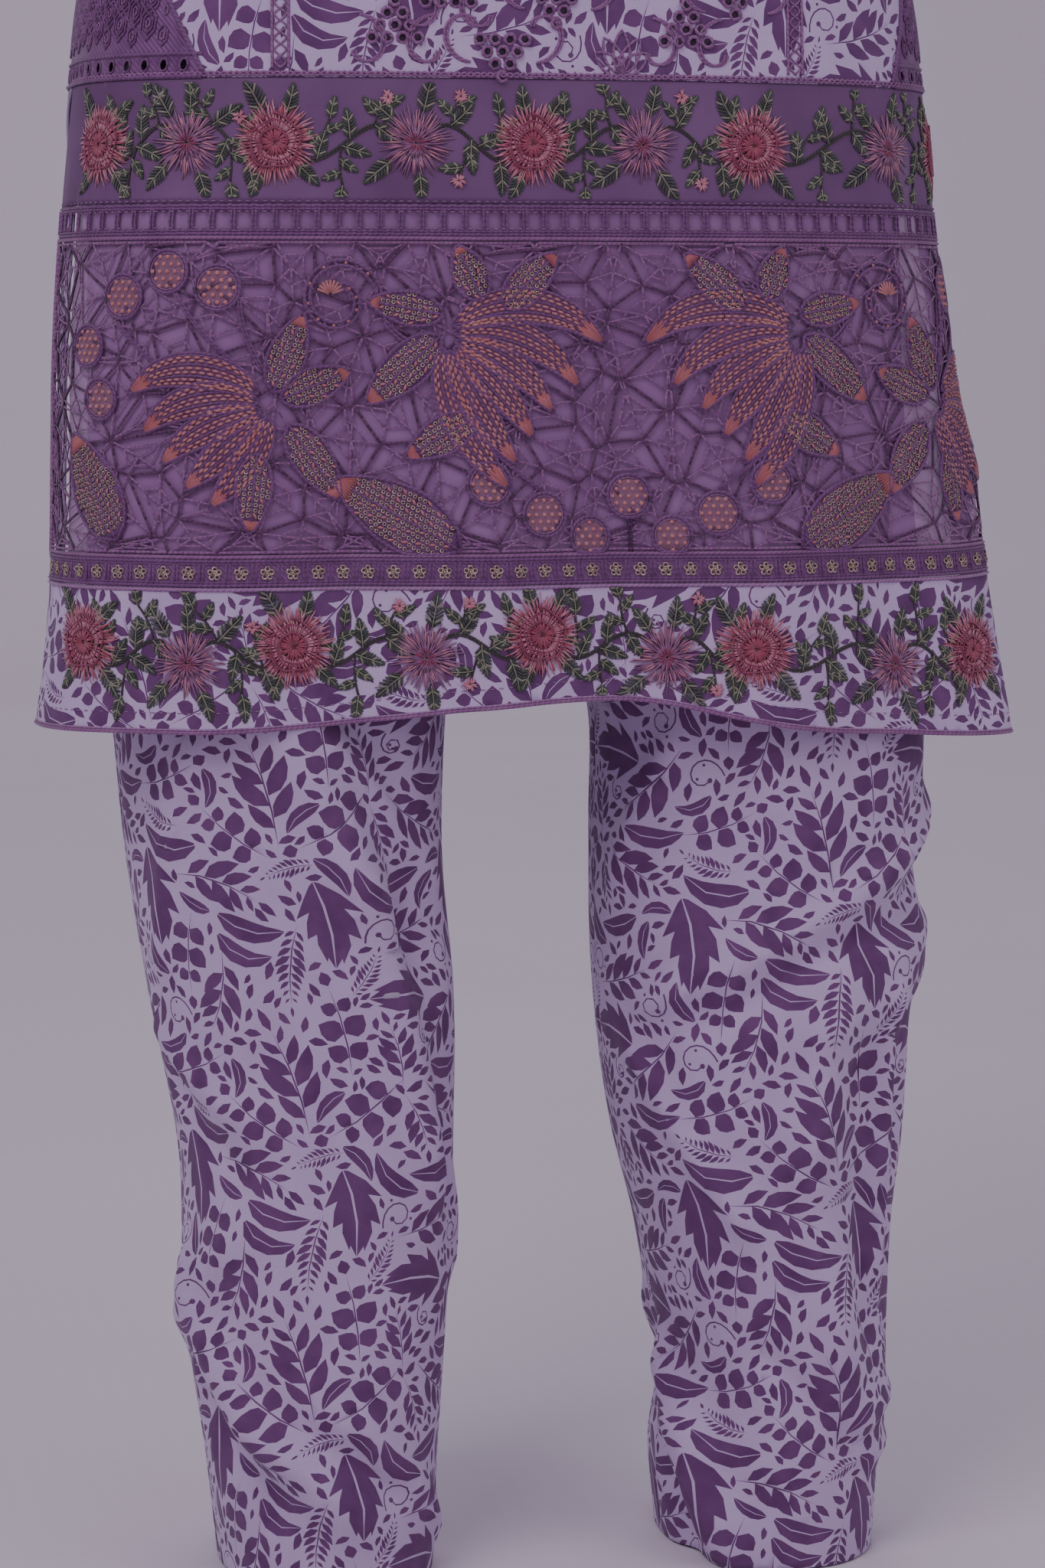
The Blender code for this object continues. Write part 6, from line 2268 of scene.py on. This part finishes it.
@dataclass
class GoreLace:
    """The side gores: corded hexagons in columns on a stitched ground, with a row of loops below."""

    cut: Cut
    rise: float = GORE_TOP - HIP_SEAM
    tip: float = 0.006
    loop_pitch: float = 0.0125
    column: float = 0.0105
    row: float = 0.0190
    nesting: float = 0.74
    first_row: float = 0.024
    clear: float = 0.0145

    def build(self) -> list[bpy.types.Object]:
        """Builds both gores.

        Returns:
            The pieces.
        """
        return [self.gore("left", -1), self.gore("right", 1)]

    def gore(self, name: str, side: int) -> bpy.types.Object:
        """One gore.

        Args:
            name: its side's name.
            side: -1 for the left one, 1 for the right.

        Returns:
            The object.
        """
        work = ThreadWork(self.cut.gore(side))
        near = GORE_NEAR - HALF_SEAM - SIDE_SEAM / 2
        far = GORE_FAR - HALF_SEAM - SIDE_SEAM / 2
        top = 1.0 - self.tip / self.rise
        corners = np.array([
            (-near, HALF_SEAM), (far, HALF_SEAM), (far * (1 - top), self.rise * top),
            (-near * (1 - top), self.rise * top),
        ])
        edges = []
        for a, b, steps in zip(corners, np.roll(corners, -1, axis=0), (24, 20, 2, 20)):
            edges.append(a + (b - a) * np.linspace(0.0, 1.0, steps, endpoint=False)[:, None])
        outline = np.concatenate(edges)
        loops = []
        for i in range(int((near + far) / self.loop_pitch) - 1):
            middle = -near + (i + 1) * self.loop_pitch
            loops.append(np.array([middle, 0.0075]) + [0.0026, 0.0036] * circle(0.0, 0.0, 1.0, 10))
        ground = ThreadWork(work.place)
        ground.plate(outline, 0.0008, 0, holes=loops, step=0.010)
        cloth = ground.shape.to_object(f"gore_{name}_ground", (PLUM,))
        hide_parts(f"side_gore_{name}")
        for loop in loops:
            work.cords(loop, 0.0006, 0.0008, 0, closed=True)
        self.hexagons(work, outline)
        for a, b in ((0, 1), (1, 2), (3, 0)):
            line = corners[a] + (corners[b] - corners[a]) * np.linspace(0.01, 0.99, 60)[:, None]
            work.cords(line + [0.0, 0.0008 if a == 0 else 0.0], 0.0008, 0.0014, 0)
        level_line = np.linspace(-near + 0.004, far - 0.004, 60)
        work.cords(track(level_line, 0.0135), 0.0007, 0.0011, 0)
        obj = work.shape.to_object(f"gore_{name}_lace", (PLUM, PURPLE))
        return obj

    def hexagons(self, work: ThreadWork, outline: np.ndarray) -> None:
        """Nested tall hexagons in staggered columns, where they fit inside the gore.

        Args:
            work: where the cords go.
            outline: the gore's edge.
        """
        right = [(0.0, 0.5), (0.46, 0.22), (0.46, -0.22)]
        shape = np.array(right + [(-x, -y) for x, y in right])
        for scale, size, finish in ((1.0, 0.00085, 0), (0.62, 0.00070, 0), (0.28, 0.00060, 1)):
            lines = []
            for column in range(-12, 14):
                for row in range(-1, 12):
                    rise = (row + 0.5 * (column % 2)) * self.row * self.nesting
                    middle = np.array([column * self.column, self.first_row + rise])
                    line = middle + scale * shape * [self.column, self.row]
                    if inside(line, outline).all() and line[:, 1].min() > self.clear:
                        lines.append(line)
            work.cords(np.array(lines), 0.0008, size, finish, closed=True)


@dataclass
class BodyStitching:
    """The embroidery on the kameez's front above the hip seam, and the cord round its neck."""

    cut: Cut

    def build(self) -> list[bpy.types.Object]:
        """Builds the stitching.

        Returns:
            The pieces.
        """
        return [self.front(), self.neck()]

    def front(self) -> bpy.types.Object:
        """Eyelet sprays, an outlined bud, latticed seams and the chain stitch on the hip seam."""
        work = ThreadWork(self.cut.front.frame)
        self.chain(work)
        sprays = (
            (-0.086, 0.914, 4, 1.0), (-0.025, 0.900, 4, -1.0), (-0.056, 0.934, 4, 1.0),
            (0.006, 0.930, 4, -1.0), (0.082, 0.914, 4, 1.0), (0.112, 0.930, 3, -1.0),
        )
        for x, y, rows, way in sprays:
            self.spray(work, x, y, rows, way)
        self.bud(work, 0.044, 0.899)
        for across in (-0.150, 0.150):
            self.lattice(work, across)
        obj = work.shape.to_object("front_stitching", (PURPLE, EYELET_SHADE))
        return obj

    def chain(self, work: ThreadWork) -> None:
        """Two cords that cross each other along the hip seam."""
        half = float(self.cut.flap(HIP_SEAM)) - 0.004
        across = np.linspace(-half, half, 420)
        for phase in (0.0, math.pi):
            wave = 0.0011 * np.sin(across * 2 * math.pi / 0.0075 + phase)
            work.cords(track(across, HIP_SEAM + 0.0020 + wave), 0.0010, 0.0008, 0)

    def spray(self, work: ThreadWork, x: float, y: float, rows: int, way: float) -> None:
        """A bunch of worked eyelets with a curled stem.

        Args:
            x: its middle across.
            y: its middle's height.
            rows: rows of eyelets.
            way: which side it leans to.
        """
        pitch = 0.0086
        middles = []
        for row in range(rows):
            for column in range(rows - row):
                across = x + (column - (rows - row - 1) / 2) * pitch
                middles.append((across, y + way * (row - 1) * pitch * 0.8))
        middles = np.array(middles)
        # Dark domes in the eyelets: painted shade where the holes would show the garment's shaded inside
        work.beads(middles, 0.0022, 0.0006, 1, out=0.0002, sides=8)
        work.rings(middles, 0.0029, 0.00105, 0, out=0.0010, steps=10, sides=4)
        share = np.linspace(0.0, 1.0, 22)
        for side in (-1.0, 1.0):
            angle = math.pi / 2 * way + side * share * 4.2
            reach = 0.004 + 0.014 * (1 - share)
            curl = np.array([x + side * 0.020, y - way * 0.012]) + reach[:, None] * unit(angle)
            curl[:, 1] = np.maximum(curl[:, 1], HIP_SEAM + 0.006)
            for shift in (0.0, 0.0017):
                work.cords(curl + [shift, 0.0], 0.0007, 0.0008, 0)

    def bud(self, work: ThreadWork, x: float, y: float) -> None:
        """A bud drawn with corded outlines."""
        for turn, length in ((90, 0.024), (62, 0.022), (118, 0.022), (36, 0.019), (144, 0.019)):
            petal = Frond(x, y - 0.010, turn, length, 0.0, 0.010)
            work.cords(petal.outline(9), 0.0007, 0.0008, 0, closed=True)

    def lattice(self, work: ThreadWork, across: float) -> None:
        """A narrow strip of crossed cords up the front.

        Args:
            across: where it stands.
        """
        rise = np.linspace(HIP_SEAM + 0.005, GORE_TOP - 0.01, 160)
        for phase in (0.0, math.pi):
            wave = 0.0032 * np.sin(rise * 2 * math.pi / 0.013 + phase)
            work.cords(track(across + wave, rise), 0.0007, 0.0006, 0)
        for shift in (-0.0046, 0.0046):
            work.cords(track(across + shift, rise), 0.0007, 0.0009, 0)

    def neck(self) -> bpy.types.Object:
        """A corded edge round the neck."""
        work = ThreadWork(self.cut.front.frame)
        share = np.linspace(-NECK_SHARE, NECK_SHARE, 60)
        height = neck_and_shoulders(FRONT_NECK_DROP)(share) - 0.001
        across = share * armhole_edge(self.cut.front, height)
        work.cords(track(across, height), 0.0006, 0.0011, 0)
        obj = work.shape.to_object("neck_cord", (PURPLE,))
        return obj


@dataclass
class Studio:
    """A pale floor and backdrop, soft lights and the camera."""

    floor_height: float = -SHOULDER
    camera_place: tuple[float, float, float] = (-0.5056, -2.4484, -0.735)
    camera_tilt: float = 90 - 6.14
    camera_turn: float = -12.0
    lens: float = 95.26
    sensor: float = 36.0
    room_side: float = 17.0
    sweep: float = 2.4
    wall_height: float = 5.0
    lamp_colour: tuple[float, float, float] = (0.94, 0.89, 1.0)
    air_colour: tuple[float, float, float, float] = (0.60, 0.56, 0.68, 1.0)
    air_strength: float = 0.55

    def build(self) -> None:
        """Makes the room, the lights and the camera."""
        self.room()
        garment = (0.0, 0.0, -0.8)
        self.light("key_light", (-1.7, -1.9, 1.5), garment, 1.7, 38.0)
        self.light("fill_light", (1.8, -1.9, 0.5), garment, 2.0, 12.0)
        self.light("back_light", (0.4, 1.6, 1.6), garment, 1.5, 8.0)
        self.light("backdrop_light", (0.8, 4.5, 4.5), (0.8, 8.5, -0.5), 2.5, 70.0)
        world = bpy.context.scene.world or bpy.data.worlds.new("room_light")
        bpy.context.scene.world = world
        world.use_nodes = True
        air = world.node_tree.nodes["Background"]
        air.inputs["Color"].default_value = self.air_colour
        air.inputs["Strength"].default_value = self.air_strength
        data = bpy.data.cameras.new("camera")
        data.lens = self.lens
        data.sensor_fit = "VERTICAL"
        data.sensor_height = self.sensor
        data.clip_start = 0.05
        camera = bpy.data.objects.new("camera", data)
        camera.location = self.camera_place
        camera.rotation_euler = Euler((math.radians(self.camera_tilt), 0.0, math.radians(self.camera_turn)))
        bpy.context.scene.collection.objects.link(camera)
        bpy.context.scene.camera = camera

    def room(self) -> None:
        """A floor that curves up into a backdrop."""
        bpy.ops.object.select_all(action="DESELECT")
        bpy.ops.mesh.primitive_plane_add(size=self.room_side, location=(0.0, 0.0, self.floor_height - 0.001))
        floor = bpy.context.object
        floor.name = "floor"
        for vertex in floor.data.vertices:
            vertex.select = vertex.co.y > 0.0
        for edge in floor.data.edges:
            edge.select = all(floor.data.vertices[i].co.y > 0.0 for i in edge.vertices)
        for polygon in floor.data.polygons:
            polygon.select = False
        bpy.ops.object.mode_set(mode="EDIT")
        bpy.ops.mesh.extrude_region_move(TRANSFORM_OT_translate={"value": (0.0, 0.0, self.wall_height)})
        bpy.ops.object.mode_set(mode="OBJECT")
        bevel = floor.modifiers.new("sweep", "BEVEL")
        bevel.width = self.sweep
        bevel.segments = 16
        bpy.ops.object.modifier_apply(modifier="sweep")
        floor.data.shade_smooth()
        bpy.ops.object.transform_apply(location=True, rotation=True, scale=True)
        floor.data.materials.append(ROOM_PAINT.material())

    def light(self, name: str, place: tuple[float, float, float], target: tuple[float, float, float],
              size: float, power: float) -> None:
        """Adds a square soft light.

        Args:
            name: the light's name.
            place: its middle.
            target: what it faces.
            size: its side.
            power: its watts.
        """
        data = bpy.data.lights.new(name, "AREA")
        data.size = size
        data.energy = power
        data.color = self.lamp_colour
        light = bpy.data.objects.new(name, data)
        light.location = place
        aim = Vector(target) - light.location
        light.rotation_euler = aim.to_track_quat("-Z", "Y").to_euler()
        bpy.context.scene.collection.objects.link(light)


VINES = (
    (
        "organza_roses", HIP_SEAM,
        ((-0.262, 0.849), (-0.153, 0.849), (-0.007, 0.849), (0.123, 0.849), (0.279, 0.849)),
        ((-0.203, 0.849), (-0.074, 0.849), (0.057, 0.849), (0.216, 0.849)),
    ),
    (
        "hem_roses", SEQUIN_LOW,
        ((-0.279, 0.566), (-0.154, 0.565), (-0.011, 0.570), (0.116, 0.560), (0.268, 0.554)),
        ((-0.214, 0.556), (-0.078, 0.558), (0.064, 0.556), (0.210, 0.548)),
    ),
)


def main() -> None:
    """Builds the garment's looks in order, then the room."""
    logging.basicConfig(level=logging.INFO, format="%(name)s: %(message)s")
    cut = Cut()
    Kameez(cut).build()
    Trousers().build()
    GoreLace(cut).build()
    Borders(cut).build()
    CutworkLace(cut).build()
    BodyStitching(cut).build()
    share = np.linspace(-1, 1, 200)
    hem = cut.hem(share)
    lows = (lambda x: ORGANZA_LOW + 0.0 * x, lambda x: np.interp(x, share * cut.flap(hem), hem))
    for low, (name, high, roses, thistles) in zip(lows, VINES):
        vine = RoseVine(name, cut.front.frame, roses, thistles).build(low, high)
    Studio().build()


if __name__ == "__main__":
    main()
